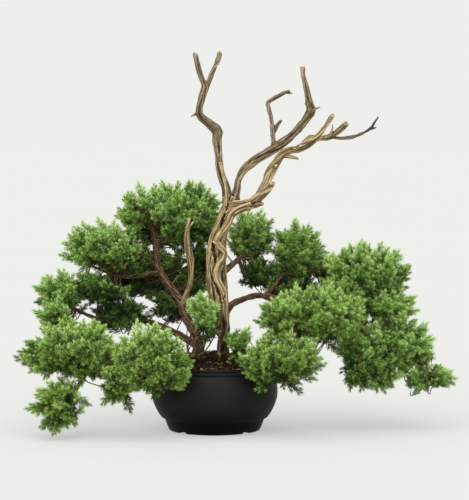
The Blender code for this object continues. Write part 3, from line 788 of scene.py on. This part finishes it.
def grown_wood(name, limbs, seed):
    """Limbs with their strands, knots and splinters fused into one skin, which keeps the
    grain's own coordinates."""
    rng = np.random.default_rng(seed)
    shapes, notes = [], []
    for route, strands, turns, grey, snapped in limbs:
        points, radii = dense(route, 1.4)
        parts = [(points, radii * (0.88 if strands else 1.0), 48, (7, 11, 16))]
        for k in range(strands):
            start = 6.28 * k / strands + rng.uniform(0, 1)
            parts.append((*winding(points, radii, turns * rng.uniform(0.8, 1.2), start), 24, (5, 7)))
        for path, thickness in stubs(rng, points, radii, snapped):
            parts.append((path, thickness, 10, (3,)))
        for path, thickness, sides, orders in parts:
            ridges, grooves = waves(rng, 0.11), cracks(rng, orders)
            every, triangles, s, angle = sweep(
                path, thickness, sides, lambda s, a: 1 + ridges(s, a) - 0.16 * grooves(s, a))
            shapes.append((every, triangles))
            radius = thickness.mean()
            place = s + rng.uniform(0, 40)
            notes.append(np.stack([radius * np.cos(angle + 9 * s), radius * np.sin(angle + 9 * s),
                                   place, np.full(len(s), grey), grooves(s, angle),
                                   np.full(len(s), rng.uniform(-1, 1))], -1))
    made = solid(name, *joined(shapes))
    source = np.vstack([points for points, _ in shapes])
    notes = np.vstack(notes)
    fuse = made.modifiers.new("fuse", "REMESH")
    fuse.mode = "VOXEL"
    fuse.voxel_size = VOXEL * MM
    settle(made)
    mesh = made.data
    tree = kdtree.KDTree(len(source))
    for i, spot in enumerate(source):
        tree.insert(spot, i)
    tree.balance()
    close = np.array([[i for _, i, _ in tree.find_n(v.co, 3)] for v in mesh.vertices])
    found = notes[close[:, 0]]
    found[:, 3:] = notes[close][:, :, 3:].mean(1)
    points = np.array([v.co[:] for v in mesh.vertices])
    ways = np.array([n.vector[:] for n in mesh.vertex_normals])
    rotted = np.zeros(len(points))
    sunk = np.zeros(len(points))
    for foot, head, width, depth in HOLLOWS:
        ragged = width * (1 + 0.45 * np.array([noise.noise(Vector(spot) * 240) for spot in points]))
        inside = near_hollow(points, foot, head, ragged) * (ways[:, 1] < 0.3)
        rotted = np.maximum(rotted, inside)
        sunk = np.maximum(sunk, inside * depth * 0.6)
    fine = np.array([noise.noise(Vector((gx * 620, gy * 620, gz * 34)))
                     + 0.6 * noise.noise(Vector((gx * 1500, gy * 1500, gz * 80)))
                     for gx, gy, gz in found[:, :3]])
    lumps = np.array([noise.noise(Vector(spot) * 95) for spot in points])
    rough = 0.45 + 0.5 * np.clip(found[:, 3], 0, 1)
    points += ways * (fine * 0.3 + lumps * rough)[:, None] * MM
    points[:, 1] += sunk * MM
    mesh.vertices.foreach_set("co", points.ravel())
    mesh.update()
    # The crack number darkens the grooves, the rotted hollows and wherever the skin lies deep: partly
    # the wood's own darker cracks, partly painted shade.
    folds = 0.55 * hollows(mesh, 14) + 0.7 * hollows(mesh, 3)
    store(mesh, "grain", found[:, :3])
    store(mesh, "grey", found[:, 3])
    store(mesh, "strand", found[:, 5])
    store(mesh, "crack", np.clip(0.36 + folds + 0.6 * found[:, 4] + 0.4 * rotted, 0, 1))
    # painted shade: the wood is darker and browner below about 196 mm, near the soil
    store(mesh, "low", np.clip((0.196 - points[:, 2]) / 0.03, 0, 1))
    mesh.shade_smooth()
    return made


def dead_wood(name):
    """Tan on the ridges, dark brown in the cracks, partly the wood's own colour and partly painted
    shade, grey where it stands in the weather, and darker and browner near the soil as painted shade."""
    finish = Finish(name, sheen=0.25)
    place = finish.node("ShaderNodeAttribute", {"attribute_name": "grain"}, {}, "Vector")
    stretch = finish.node("ShaderNodeVectorMath", {"operation": "MULTIPLY"},
                          {0: place, 1: (1.0, 1.0, 0.045)})
    streaks = finish.noise(950, stretch, detail=3)
    broad = finish.noise(260, stretch, detail=2)
    patches = finish.noise(22, detail=4)
    crack = finish.number("crack")
    low = finish.number("low")
    grey = (finish.number("grey") + (patches - 0.5) * 0.9).held()
    # depth darkens the colour: the crack number in it is partly painted shade, and the low number is
    # painted shade near the soil
    depth = (crack * 1.1 - 0.04 + (streaks - 0.5) * 1.1 + (broad - 0.5) * 0.6
             + finish.number("strand") * 0.07 + low * 0.22).held()
    tan = finish.ramp(depth, (0.0, (0.55, 0.43, 0.255)), (0.3, (0.30, 0.22, 0.105)),
                      (0.55, (0.135, 0.093, 0.036)), (0.78, (0.040, 0.027, 0.010)),
                      (1.0, (0.009, 0.006, 0.003)))
    silver = finish.ramp(depth, (0.0, (0.285, 0.23, 0.16)), (0.3, (0.138, 0.103, 0.063)),
                         (0.55, (0.062, 0.043, 0.024)), (0.78, (0.023, 0.015, 0.008)),
                         (1.0, (0.008, 0.0055, 0.0035)))
    # painted shade near the soil: a darker, browner ramp
    near_soil_shade = finish.ramp(depth, (0.0, (0.46, 0.32, 0.175)), (0.35, (0.21, 0.13, 0.062)),
                          (0.6, (0.065, 0.038, 0.018)), (1.0, (0.006, 0.004, 0.003)))
    spot = finish.node("ShaderNodeTexCoord", {}, {}, "Object")
    charred = (finish.node("ShaderNodeSeparateXYZ", {}, {0: spot}) * 26.0 - 5.5).held()
    dry = finish.mix(grey, tan, silver)
    burnt = finish.mix(charred * 0.8, dry, (0.020, 0.021, 0.024))
    finish.colour(finish.mix(low * 0.8, burnt, near_soil_shade))
    finish.roughness(0.66 + streaks * 0.25)
    finish.bump(streaks * -1.0 + broad * -0.6, 0.0009, 0.8)
    return finish.material


DEAD_WOOD = dead_wood("weathered_wood")
trunk = grown_wood("dead_trunk", DEAD_LIMBS, 5)
stub = grown_wood("dead_stub", [(DEAD_STUB, 2, 0.7, 0.3, True), (DEAD_STUB_NUB, 0, 0, 0.3, False)], 8)
for piece, node in ((trunk, "trunk_deadwood"), (stub, "dead_stub_left")):
    piece.data.materials.append(DEAD_WOOD)
    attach(piece, "root")
    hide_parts(node)


# ---------------------------------------------------------------- the live branches
# The branches that still carry sap, in rough reddish brown bark that lifts in small flakes. They
# leave the trunk or the soil beside it and run out inside the foliage.
BRANCHES = {
    "branch_left_upper": [(-20, 8, 104, 9), (-30, 16, 146, 7.8), (-44, 26, 174, 7.2),
                          (-56, 34, 202, 6.8), (-70, 44, 223, 6.2), (-85, 54, 243, 6),
                          (-94, 60, 261, 5.9), (-96, 66, 287, 5.2), (-98, 72, 306, 4.4),
                          (-104, 78, 326, 3.6), (-112, 84, 345, 2.4)],
    "branch_left_side": [(-88, 56, 250, 3.4), (-111, 50, 246, 3.2), (-125, 45, 243, 2.9),
                         (-149, 40, 243, 2.6), (-176, 35, 251, 2.1), (-200, 30, 262, 1.5)],
    "branch_left_low": [(-24, 16, 128, 5.8), (-56, 34, 148, 5.2), (-89, 38, 163, 4.7),
                        (-121, 34, 174, 4.3), (-147, 26, 172, 3.9), (-170, 14, 172, 3.4),
                        (-200, 4, 182, 2.8), (-230, -2, 198, 2.2), (-248, -5, 210, 1.6)],
    "branch_left_front": [(-10, -12, 112, 5.6), (-38, -48, 124, 5.2), (-66, -75, 125, 4.6),
                          (-100, -90, 122, 4.1), (-137, -92, 120, 3.6), (-168, -88, 119, 3.2),
                          (-197, -85, 108, 2.8), (-211, -84, 84, 2.4), (-222, -88, 58, 2),
                          (-236, -94, 40, 1.5)],
    "branch_back_left": [(8, 6, 154, 5.6), (-4, 34, 168, 5.2), (-20, 64, 182, 4.6),
                         (-40, 96, 200, 4), (-64, 126, 216, 3.2), (-92, 148, 226, 2.2)],
    "branch_right_low": [(12, 0, 180, 6), (26, 8, 199, 5), (42, 18, 207, 4.6),
                         (70, 32, 213, 4.2), (106, 30, 209, 4), (141, 20, 204, 3.7),
                         (178, 10, 199, 3.4), (214, 2, 188, 3.1), (249, -5, 169, 2.7),
                         (284, -10, 142, 2.3), (316, -12, 116, 1.9), (344, -12, 98, 1.4)],
    "branch_right_front": [(18, -4, 114, 5.2), (42, -34, 128, 4.8), (66, -60, 130, 4.2),
                           (92, -78, 124, 3.6), (118, -88, 114, 3), (142, -92, 104, 2.2)],
    "branch_right_upper": [(80, 32, 212, 4), (96, 48, 228, 3.8), (112, 62, 244, 3.5),
                           (148, 62, 250, 3.1), (184, 54, 252, 2.8), (220, 44, 250, 2.4),
                           (252, 36, 244, 1.8)],
    "branch_back_right": [(80, 33, 210, 3), (106, 62, 199, 3), (134, 92, 188, 2.7),
                          (168, 110, 182, 2.3), (204, 120, 178, 1.6)],
    "branch_centre_back": [(10, 4, 248, 4.6), (26, 24, 262, 4.2), (40, 48, 272, 3.8),
                           (52, 70, 284, 3.2), (60, 84, 302, 2.4)],
}


def live_bark():
    """Dark red-brown plates with paler edges and black furrows between them, following how deep each
    point lies: partly the bark's own colour, partly painted shade.
    """
    finish = Finish("live_bark", roughness=0.85, sheen=0.25)
    place = finish.node("ShaderNodeAttribute", {"attribute_name": "grain"}, {}, "Vector")
    stretch = finish.node("ShaderNodeVectorMath", {"operation": "MULTIPLY"},
                          {0: place, 1: (1.0, 1.0, 0.22)})
    flakes = finish.noise(420, stretch, detail=4, roughness=0.65)
    crack = finish.number("crack")
    depth = (crack * 0.9 + (flakes - 0.5) * 1.5).held()
    finish.colour(finish.ramp(depth, (0.0, (0.135, 0.078, 0.046)), (0.28, (0.062, 0.032, 0.017)),
                              (0.5, (0.028, 0.014, 0.008)), (0.75, (0.010, 0.006, 0.003)),
                              (1.0, (0.005, 0.003, 0.002))))
    finish.bump(flakes, 0.0012, 0.9)
    return finish.material


def bark_shape(rng):
    """Short overlapping flakes over a knobbly stem."""
    ridges = waves(rng, 0.12, (2, 3, 5), 5.0)
    grooves = cracks(rng, (5, 8), 5.0)
    bumps = rng.uniform(0, 6.28, 4)

    def shape(s, angle):
        knots = 0.10 * np.sin(s * 320 + bumps[0]) * np.sin(2 * angle + s * 90 + bumps[1])
        flakes = 0.11 * np.sin(s * 950 + 3 * angle + bumps[2]) * np.sin(s * 610 - 4 * angle + bumps[3])
        return 1.04 + ridges(s, angle) + knots + flakes - 0.14 * grooves(s, angle)
    return shape


LIVE_BARK = live_bark()


def make_branches():
    rng = np.random.default_rng(21)
    for node, route in BRANCHES.items():
        points, radii = dense(route, 1.0)
        every, triangles, s, angle = sweep(points, radii, 30, bark_shape(rng))
        radius = radii.mean()
        place = np.stack([radius * np.cos(angle), radius * np.sin(angle), s + rng.uniform(0, 9)], -1)
        made = solid(node.replace("branch", "live_branch"), every, triangles, {"grain": place})
        # partly painted shade: the crack number, from how deep each point lies, darkens the furrows
        store(made.data, "crack", np.clip(0.5 + 1.1 * hollows(made.data, 6), 0, 1))
        made.data.materials.append(LIVE_BARK)
        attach(made, "root")
        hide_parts(node)


make_branches()


# ---------------------------------------------------------------- the foliage
# Juniper needles 6 to 8 mm long stand in threes round each green shoot. The shoots branch into
# pointed plumes, the plumes into fronds, and the fronds fill the cloud-like sprays of the tree.
NEEDLE = 7.9
NEEDLE_WIDTH = 0.68
WHORL = 2.4
PLUME = 28.0
FROND_GAP = 28.0
FROND_AXIS = 32.0
PLUME_GAP = 5.6
SIDE_SHOOTS = (0.08, 0.2, 0.32, 0.44, 0.56, 0.68)
GOLDEN = math.radians(137.508)
MOST_FRONDS = 36

# node: how densely it grows, lean of the growth (x, y, z), light on it, branches that carry it
SPRAYS = {
    "foliage_left_front": (1.0, (-0.1, -0.3, 0.3), 0.53, ("left_front",)),
    "foliage_left_low": (1.0, (-0.3, -0.2, 0.35), 0.53, ("left_front",)),
    "foliage_left_hanging": (1.0, (-0.5, -0.1, -0.35), 0.58, ("left_front",)),
    "foliage_left_droop": (1.0, (0.0, -0.1, -0.5), 0.5, ("left_front",)),
    "foliage_left_between": (0.9, (-0.5, -0.1, 0.2), 0.45, ("left_low",)),
    "foliage_right_low_front": (1.0, (0.2, -0.2, 0.35), 0.42, ("right_front",)),
    "foliage_right_front": (1.0, (0.1, -0.3, 0.4), 0.52, ("right_front", "right_low")),
    "foliage_centre_plume": (0.9, (0.0, -0.1, 0.9), 0.64, ("left_front",)),
    "foliage_right_base": (0.9, (0.1, -0.2, 0.7), 0.54, ("right_front",)),
    "foliage_right_low": (1.0, (0.4, 0.0, 0.2), 0.62, ("right_low",)),
    "foliage_right_side": (1.0, (0.7, 0.0, 0.2), 0.56, ("right_low", "right_upper")),
    "foliage_right_tip": (1.0, (0.9, 0.0, -0.1), 0.62, ("right_low",)),
    "foliage_right_fringe": (0.9, (0.4, -0.1, -0.4), 0.32, ("right_low",)),
    "foliage_right_upper": (1.0, (0.15, 0.0, 0.5), 0.53, ("right_upper",)),
    "foliage_right_gap": (0.8, (0.2, 0.0, 0.5), 0.25, ("right_upper",)),
    "foliage_right_back": (1.0, (0.15, 0.1, 0.55), 0.44, ("right_upper",)),
    "foliage_right_heart": (0.55, (0.2, 0.0, 0.2), 0.05, ("centre_back",)),
    "foliage_right_under": (0.7, (0.3, 0.0, 0.2), 0.05, ("right_upper",)),
    "foliage_centre_back": (1.0, (0.15, 0.1, 0.5), 0.48, ("centre_back",)),
    "foliage_left_crown": (1.0, (-0.15, 0.0, 0.65), 0.48, ("left_upper",)),
    "foliage_left_wing": (1.0, (-0.6, 0.0, 0.3), 0.58, ("left_side",)),
    "foliage_left_mid": (1.0, (-0.4, -0.1, 0.4), 0.44, ("left_low",)),
    "foliage_left_link": (0.9, (-0.4, -0.1, 0.1), 0.15, ("left_low", "left_side")),
    "foliage_left_inner": (0.8, (-0.3, -0.1, 0.1), -0.05, ("left_upper",)),
    "foliage_left_under": (0.8, (-0.4, -0.2, -0.1), 0.03, ("left_low",)),
    "foliage_left_heart": (0.8, (-0.1, -0.2, 0.1), -0.05, ("left_upper",)),
    "foliage_centre_left": (0.8, (0.1, 0.0, 0.3), 0.1, ("left_upper",)),
    "foliage_back_left": (0.9, (-0.1, 0.5, 0.3), 0.4, ("back_left",)),
    "foliage_back_right": (0.9, (0.2, 0.5, 0.3), 0.4, ("back_right",)),
}

# branches that show through the needles in front of them, and how wide the gap is beside them
SEEN_BRANCHES = ("branch_left_upper", "branch_left_side")
SEEN_GAP = 10

# plumes that stand out round a spray's outline: how far apart, and how far round from its lean
OUTLINE_GAP = 13.0
OUTLINE_SPREAD = 80
OUTLINE_REACH = (0.96, 1.05)
OUTLINE_OVERHANG = 8.0


def unit(rows):
    return rows / np.linalg.norm(rows, axis=-1, keepdims=True)


def needle_arrays(base, way, length, width):
    """Three-sided needles, pointed at both ends: five points and six triangles each."""
    side = unit(np.cross(way, (0.31, 0.52, 0.79)))
    over = np.cross(way, side)
    angle = np.radians([0, 120, 240])[None, :, None]
    ring = (base + way * length * 0.4)[:, None] + width * (
        side[:, None] * np.cos(angle) + over[:, None] * np.sin(angle))
    points = np.concatenate([base[:, None], ring, (base + way * length)[:, None]], 1)
    corners = np.array([[2, 1, 0], [3, 2, 0], [1, 3, 0], [1, 2, 4], [2, 3, 4], [3, 1, 4]])
    starts = (np.arange(len(base)) * 5)[:, None, None]
    return points.reshape(-1, 3), (corners[None] + starts).reshape(-1, 3)


def shoot(rng, start, way, length):
    """Needle bases, directions and places along one shoot, closing up towards its tip."""
    count = max(2, round(length / WHORL))
    t = np.repeat((np.arange(count) + 0.5) / count, 3)
    azimuth = (np.tile([0, 120, 240], count) + np.repeat(np.arange(count) * 60, 3)
               + rng.uniform(-14, 14, 3 * count))
    opening = np.radians(53 - 27 * t + rng.uniform(-8, 8, 3 * count))
    t = np.append(t, [1, 1, 1])
    azimuth = np.radians(np.append(azimuth, [20, 140, 260]))
    opening = np.append(opening, np.radians([14, 14, 14]))
    way = way / np.linalg.norm(way)
    side = unit(np.cross(way, (0.45, 0.8, 0.39)))
    over = np.cross(way, side)
    out = side * np.cos(azimuth)[:, None] + over * np.sin(azimuth)[:, None]
    ways = way * np.cos(opening)[:, None] + out * np.sin(opening)[:, None]
    return start + way * (t * length)[:, None], ways, t


def plume(seed):
    """One plume along Z: a leading shoot with side shoots, in millimetres, with the place of
    each point between the plume's foot (0) and its tips (1)."""
    rng = np.random.default_rng(seed)
    shoots = [(np.zeros(3), np.array([0, 0, 1.0]), PLUME, 0.0)]
    for k, t in enumerate(SIDE_SHOOTS):
        azimuth = k * GOLDEN + rng.uniform(-0.4, 0.4)
        lean = math.radians(rng.uniform(28, 38))
        way = np.array([math.cos(azimuth) * math.sin(lean), math.sin(azimuth) * math.sin(lean),
                        math.cos(lean)])
        shoots.append((np.array([0, 0, PLUME * t]), way, (1 - t) * 9 + 3, t * 0.5))
    base, ways, places = [], [], []
    for start, way, length, first in shoots:
        feet, headings, t = shoot(rng, start, way, length)
        base.append(feet)
        ways.append(headings)
        places.append(first + (1 - first) * t)
    base, ways, place = np.vstack(base), np.vstack(ways), np.concatenate(places)
    points, triangles = needle_arrays(base, ways, NEEDLE, NEEDLE_WIDTH)
    along = np.repeat(place, 5) * 0.8 + np.tile([0.0, 0.08, 0.08, 0.1, 0.2], len(place))
    shade = np.repeat(rng.normal(0, 1, len(place)), 5)
    return points, triangles, along, shade


PLUMES = [plume(seed) for seed in range(8)]


def place_fronds(node, density, lean, rng):
    """Each frond's foot, direction, size and brightness, and the length of the fronds' axes."""
    low, high = (np.array(corner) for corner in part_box(node))
    middle, half = (low + high) / 2, (high - low) / 2
    a, b, c = (half / MM) ** 1.6
    area = 4 * math.pi * ((a * b + a * c + b * c) / 3) ** (1 / 1.6)
    outer = max(5, round(0.85 * density * area / FROND_GAP ** 2))
    inner = round(outer * 0.22) if half.mean() > 40 * MM else 0
    axis = min(FROND_AXIS, 0.6 * half.mean() / MM)
    drooping = lean[2] < 0
    rows = []
    for count, reach in ((outer, 1.0), (inner, 0.58)):
        i = np.arange(count) + 0.5
        height = 1 - (1.95 if drooping else 1.62) * i / max(count, 1)
        turn = i * GOLDEN + rng.uniform(0, 6.28)
        flat = np.sqrt(np.maximum(1 - height ** 2, 0))
        ball = np.stack([flat * np.cos(turn), flat * np.sin(turn), height], -1)
        ball = unit(ball + rng.normal(0, 0.15, (count, 3)))
        tips = middle + ball * half * (reach * rng.uniform(0.74, 1.0, (count, 1)))
        growth = unit(ball / half) * 0.9 + np.array(lean) + rng.normal(0, 0.16, (count, 3))
        if not drooping:
            growth[:, 2] = np.maximum(growth[:, 2], -0.12)
        growth = unit(growth)
        size = rng.uniform(0.84, 1.1, count)
        feet = tips - growth * ((axis + 0.8 * PLUME) * size * MM)[:, None]
        # painted light: fronds high on the spray are brighter and those of the inner ring darker, with
        # a random spread
        lit = ball[:, 2] - 1.4 * (1 - reach) + rng.normal(0, 0.42, count)
        rows.append(np.hstack([feet, growth, size[:, None], lit[:, None]]))
    heading = math.atan2(lean[0], lean[2])
    count = max(2, round((half[0] + half[2]) / (OUTLINE_GAP * MM)))
    spread = np.radians(np.linspace(-OUTLINE_SPREAD, OUTLINE_SPREAD, count))
    for turn in heading + spread + rng.normal(0, 0.09, count):
        outward = np.array([math.sin(turn), 0.0, math.cos(turn)])
        growth = unit(outward + [0, rng.uniform(-0.25, 0.1), 0])
        scale = rng.uniform(0.8, 1.1)
        tip = middle + outward * half * rng.uniform(*OUTLINE_REACH)
        foot = tip - growth * (axis + PLUME + OUTLINE_OVERHANG) * scale * MM
        # painted light: outline plumes that point up are brighter
        rows.append(np.hstack([foot, growth, scale, 0.3 + 0.4 * math.cos(turn)])[None])
    return np.vstack(rows), axis


def frond_plumes(fronds, axis, light, rng):
    """The plumes of every frond: foot, direction, size and brightness."""
    per = max(3, round(axis / PLUME_GAP))
    rows = []
    for frond in fronds:
        foot, way, scale, lit = frond[:3], frond[3:6], frond[6], frond[7]
        side = unit(np.cross(way, (0.2, 0.3, 0.93)))
        over = np.cross(way, side)
        t = np.append(np.linspace(0, 0.72, per - 1), 1.0)
        azimuth = np.arange(per) * GOLDEN + rng.uniform(0, 6.28)
        lean = np.radians(np.append(rng.uniform(36, 60, per - 1), rng.uniform(0, 8)))
        out = side * np.cos(azimuth)[:, None] + over * np.sin(azimuth)[:, None]
        ways = unit(way * np.cos(lean)[:, None] + out * np.sin(lean)[:, None] + [0, 0, 0.12])
        spots = foot + way * ((0.1 + 0.9 * t) * axis * scale * MM)[:, None]
        spots = spots + out * rng.uniform(0, 2.5, (per, 1)) * MM
        sizes = scale * np.append(1.0 - 0.28 * t[:-1], 1.08) * rng.uniform(0.88, 1.1, per)
        # painted light: each plume's tone comes from the spray's light and the frond's light, rising a
        # little towards the frond's tip, with a random spread
        tone = light + 0.30 * lit + 0.10 * (t - 0.5) + rng.normal(0, 0.13, per)
        tone = np.maximum(tone, 0.45 * light - 0.06)
        rows.append(np.hstack([spots, ways, sizes[:, None], tone[:, None]]))
    rows = np.vstack(rows)
    hides = np.zeros(len(rows), bool)
    seen = np.vstack([dense(BRANCHES[name], 8)[0] for name in SEEN_BRANCHES])
    for part in (0.2, 0.6, 1.0):
        spots = rows[:, :3] + rows[:, 3:6] * PLUME * part * MM
        for stem in seen:
            beside = np.hypot(spots[:, 0] - stem[0], spots[:, 2] - stem[2])
            hides |= (beside < SEEN_GAP * MM) & (spots[:, 1] < stem[1])
    return rows[~hides]


def leaf_green(name, tint):
    """Nearly black green deep in the spray, which is painted shade, fresh yellow-green at the young
    tips, and a pale stop on the needles that stand in the open, partly bloom and partly painted light.
    The tint makes the sprays behind bluer and darker, as painted shade."""
    finish = Finish(name, roughness=0.58, sheen=0.18)
    tone, along = finish.number("tone"), finish.number("along")
    old = finish.ramp(tone, (0.0, (0.002, 0.0045, 0.001)), (0.5, (0.010, 0.024, 0.004)),
                      (1.0, (0.036, 0.072, 0.016)))
    young = finish.ramp(tone, (0.0, (0.018, 0.042, 0.008)), (0.2, (0.085, 0.155, 0.026)),
                        (0.5, (0.22, 0.37, 0.064)), (0.85, (0.36, 0.54, 0.125)),
                        (1.0, (0.43, 0.60, 0.19)))
    ripe = (along * 1.3 - 0.1).held() ** 1.4
    finish.colour(finish.mix(1.0, finish.mix(ripe, old, young), tint, "MULTIPLY"))
    return finish.material


# The sprays behind get a bluer, darker tint than those in front: painted shade.
FRONT_GREEN = leaf_green("juniper_front", (1.0, 1.0, 1.0))
BACK_SHADED_GREEN = leaf_green("juniper_old", (0.925, 0.97, 1.0))


def bake_map(mesh, across, up):
    """Lays the mesh out by the two numbers that its colour is worked out from."""
    across = np.clip(across + np.resize([0.0, 0.008, -0.008, 0.0, 0.003], len(across)), 0, 1)
    corners = np.empty(len(mesh.loops), np.int32)
    mesh.loops.foreach_get("vertex_index", corners)
    layer = mesh.uv_layers.new(name="OFBake", do_init=False)
    layer.uv.foreach_set("vector", np.stack([across, up], -1)[corners].astype(np.float32).ravel())


def low_y(node):
    """How far forward a spray reaches, in millimetres."""
    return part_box(node)[0].y / MM


def add_needles(name, node, rows, rng):
    """One piece made of plumes at the given places."""
    kind = rng.integers(0, len(PLUMES), len(rows))
    shapes, tones, alongs = [], [], []
    for k, (points, triangles, along, shade) in enumerate(PLUMES):
        mine = rows[kind == k]
        turns = turns_about(mine[:, 3:6], rng.uniform(0, 6.28, len(mine)))
        shapes.append(copies((points, triangles), turns * (mine[:, 6] * MM)[:, None, None],
                             mine[:, :3]))
        tones.append((mine[:, 7][:, None] + 0.10 * shade[None]).ravel())
        alongs.append(np.tile(along, len(mine)))
    tone, along = np.clip(np.concatenate(tones), 0.01, 0.99), np.concatenate(alongs)
    points, triangles = joined(shapes)
    points[:, 2] = np.maximum(points[:, 2], 1.0 * MM)
    made = solid(name, points, triangles, {"tone": tone, "along": along})
    bake_map(made.data, tone, along)
    # painted shade: sprays reaching forward get the plain green, those behind the bluer, darker one
    made.data.materials.append(FRONT_GREEN if low_y(node) < -110 else BACK_SHADED_GREEN)
    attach(made, "root")
    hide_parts(node)


def make_sprays():
    """Every spray of needles, and where its fronds start, for the twigs."""
    grown = {}
    for seed, (node, (density, lean, light, _)) in enumerate(SPRAYS.items()):
        rng = np.random.default_rng(100 + seed)
        fronds, axis = place_fronds(node, density, lean, rng)
        grown[node] = (fronds, axis)
        pieces = math.ceil(len(fronds) / MOST_FRONDS)
        for k in range(pieces):
            name = node.replace("foliage", "needles") + (f"_{k + 1}" if pieces > 1 else "")
            rows = frond_plumes(fronds[k::pieces], axis, light, rng)
            add_needles(name, node, rows, rng)
    return grown


GROWN = make_sprays()


def nearest_start(foot, way, stems):
    """The point of a live branch from which a twig would best reach this foot."""
    reach = foot - stems
    far = np.linalg.norm(reach, axis=1)
    along = (reach @ way) / np.maximum(far, 1e-6)
    return stems[np.argmin(far * (1.35 - 0.35 * along))]


# young twigs that have dropped most of their needles, in front of the shaded sprays
BARE_BRANCHES = ("branch_left_upper", "branch_left_side", "branch_centre_back")
BARE_PLACES = (0.35, 0.5, 0.65, 0.8, 0.95)
BARE_LENGTH = 42.0
BARE_NEEDLE = 5.5
BARE_NEEDLE_WIDTH = 0.55


def make_bare_twigs():
    """Olive stems, each with three side twigs, and a few short needles left on them."""
    rng = np.random.default_rng(61)
    shapes, feet, headings = [], [], []
    routes = []
    for name in BARE_BRANCHES:
        stem = dense(BRANCHES[name], 4)[0] / MM
        for k, place in enumerate(BARE_PLACES):
            start = stem[round(place * (len(stem) - 1))]
            side = 1 if k % 2 else -1
            way = unit(np.array([side * rng.uniform(0.5, 1.0), -0.15, rng.uniform(0.1, 0.8)]))
            length = BARE_LENGTH * rng.uniform(0.7, 1.2)
            bend = start + way * length * 0.5 + rng.normal(0, 2.5, 3)
            routes.append(np.array([start, bend, start + way * length]))
    for spots in routes:
        reach = np.linalg.norm(spots[2] - spots[0])
        stems = [np.hstack([spots, [[1.3], [0.9], [0.4]]])]
        for t in (0.35, 0.55, 0.75):
            foot = spots[0] * (1 - t) + spots[2] * t
            foot = foot * 0.3 + spots[1] * 0.7 if 0.4 < t < 0.6 else foot
            tip = foot + (spots[2] - spots[0]) * 0.25 + rng.normal(0, 0.16, 3) * reach
            stems.append(np.array([[*foot, 0.8], [*((foot + tip) / 2), 0.7], [*tip, 0.35]]))
        for stem in stems:
            fine = curve_through(stem, 4) * MM
            shapes.append(sweep(fine[:, :3], fine[:, 3], 5)[:2])
            base, ways, _ = shoot(rng, fine[0, :3] / MM, fine[-1, :3] - fine[0, :3],
                                  np.linalg.norm(fine[-1, :3] - fine[0, :3]) / MM)
            left = rng.random(len(base)) < 0.5
            feet.append(base[left])
            headings.append(ways[left])
    points, triangles = needle_arrays(np.vstack(feet), np.vstack(headings), BARE_NEEDLE,
                                      BARE_NEEDLE_WIDTH)
    tone = np.clip(0.3 + 0.12 * np.repeat(rng.normal(0, 1, len(points) // 5), 5), 0.01, 0.99)
    along = np.tile([0.3, 0.5, 0.5, 0.5, 0.75], len(points) // 5)
    needles = solid("needles_sparse", points * MM, triangles, {"tone": tone, "along": along})
    bake_map(needles.data, tone, along)
    needles.data.materials.append(FRONT_GREEN)
    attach(needles, "root")
    finish = Finish("young_twig", roughness=0.7, sheen=0.3)
    finish.colour(finish.mix(finish.noise(110), (0.045, 0.032, 0.012), (0.17, 0.15, 0.05)))
    made = solid("twigs_bare", *joined(shapes))
    made.data.materials.append(finish.material)
    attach(made, "root")


make_bare_twigs()


def make_twigs():
    """Thin woody twigs from the live branches to the fronds, and on through each frond."""
    rng = np.random.default_rng(33)
    groups = {"left": [], "right": [], "back": []}
    for node, (fronds, axis) in GROWN.items():
        carriers = ["branch_" + name for name in SPRAYS[node][3]]
        stems = np.vstack([dense(BRANCHES[name], 4)[0] for name in carriers])
        group = "back" if "back" in node else "left" if "left" in node else "right"
        for frond in fronds:
            foot, way, scale = frond[:3], frond[3:6], frond[6]
            start = nearest_start(foot, way, stems)
            gap = np.linalg.norm(foot - start)
            middle = (start + foot) / 2 - way * gap * 0.12 + rng.normal(0, 0.06, 3) * gap
            end = foot + way * axis * scale * MM
            radii = np.array([1.1 + 4 * gap, 0.9 + 2 * gap, 0.8, 0.6, 0.3])[:, None] * MM
            route = np.hstack([np.vstack([start, middle, foot, (foot + end) / 2, end]), radii])
            fine = curve_through(route, 3)
            groups[group].append(sweep(fine[:, :3], fine[:, 3], 5)[:2])
    finish = Finish("twig_bark", roughness=0.8, sheen=0.25)
    finish.colour(finish.ramp(finish.noise(90, detail=2), (0.3, (0.020, 0.011, 0.006)),
                              (0.55, (0.060, 0.036, 0.014)), (0.75, (0.17, 0.135, 0.04))))
    for group, shapes in groups.items():
        made = solid(f"twigs_{group}", *joined(shapes))
        made.data.materials.append(finish.material)
        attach(made, "root")


make_twigs()
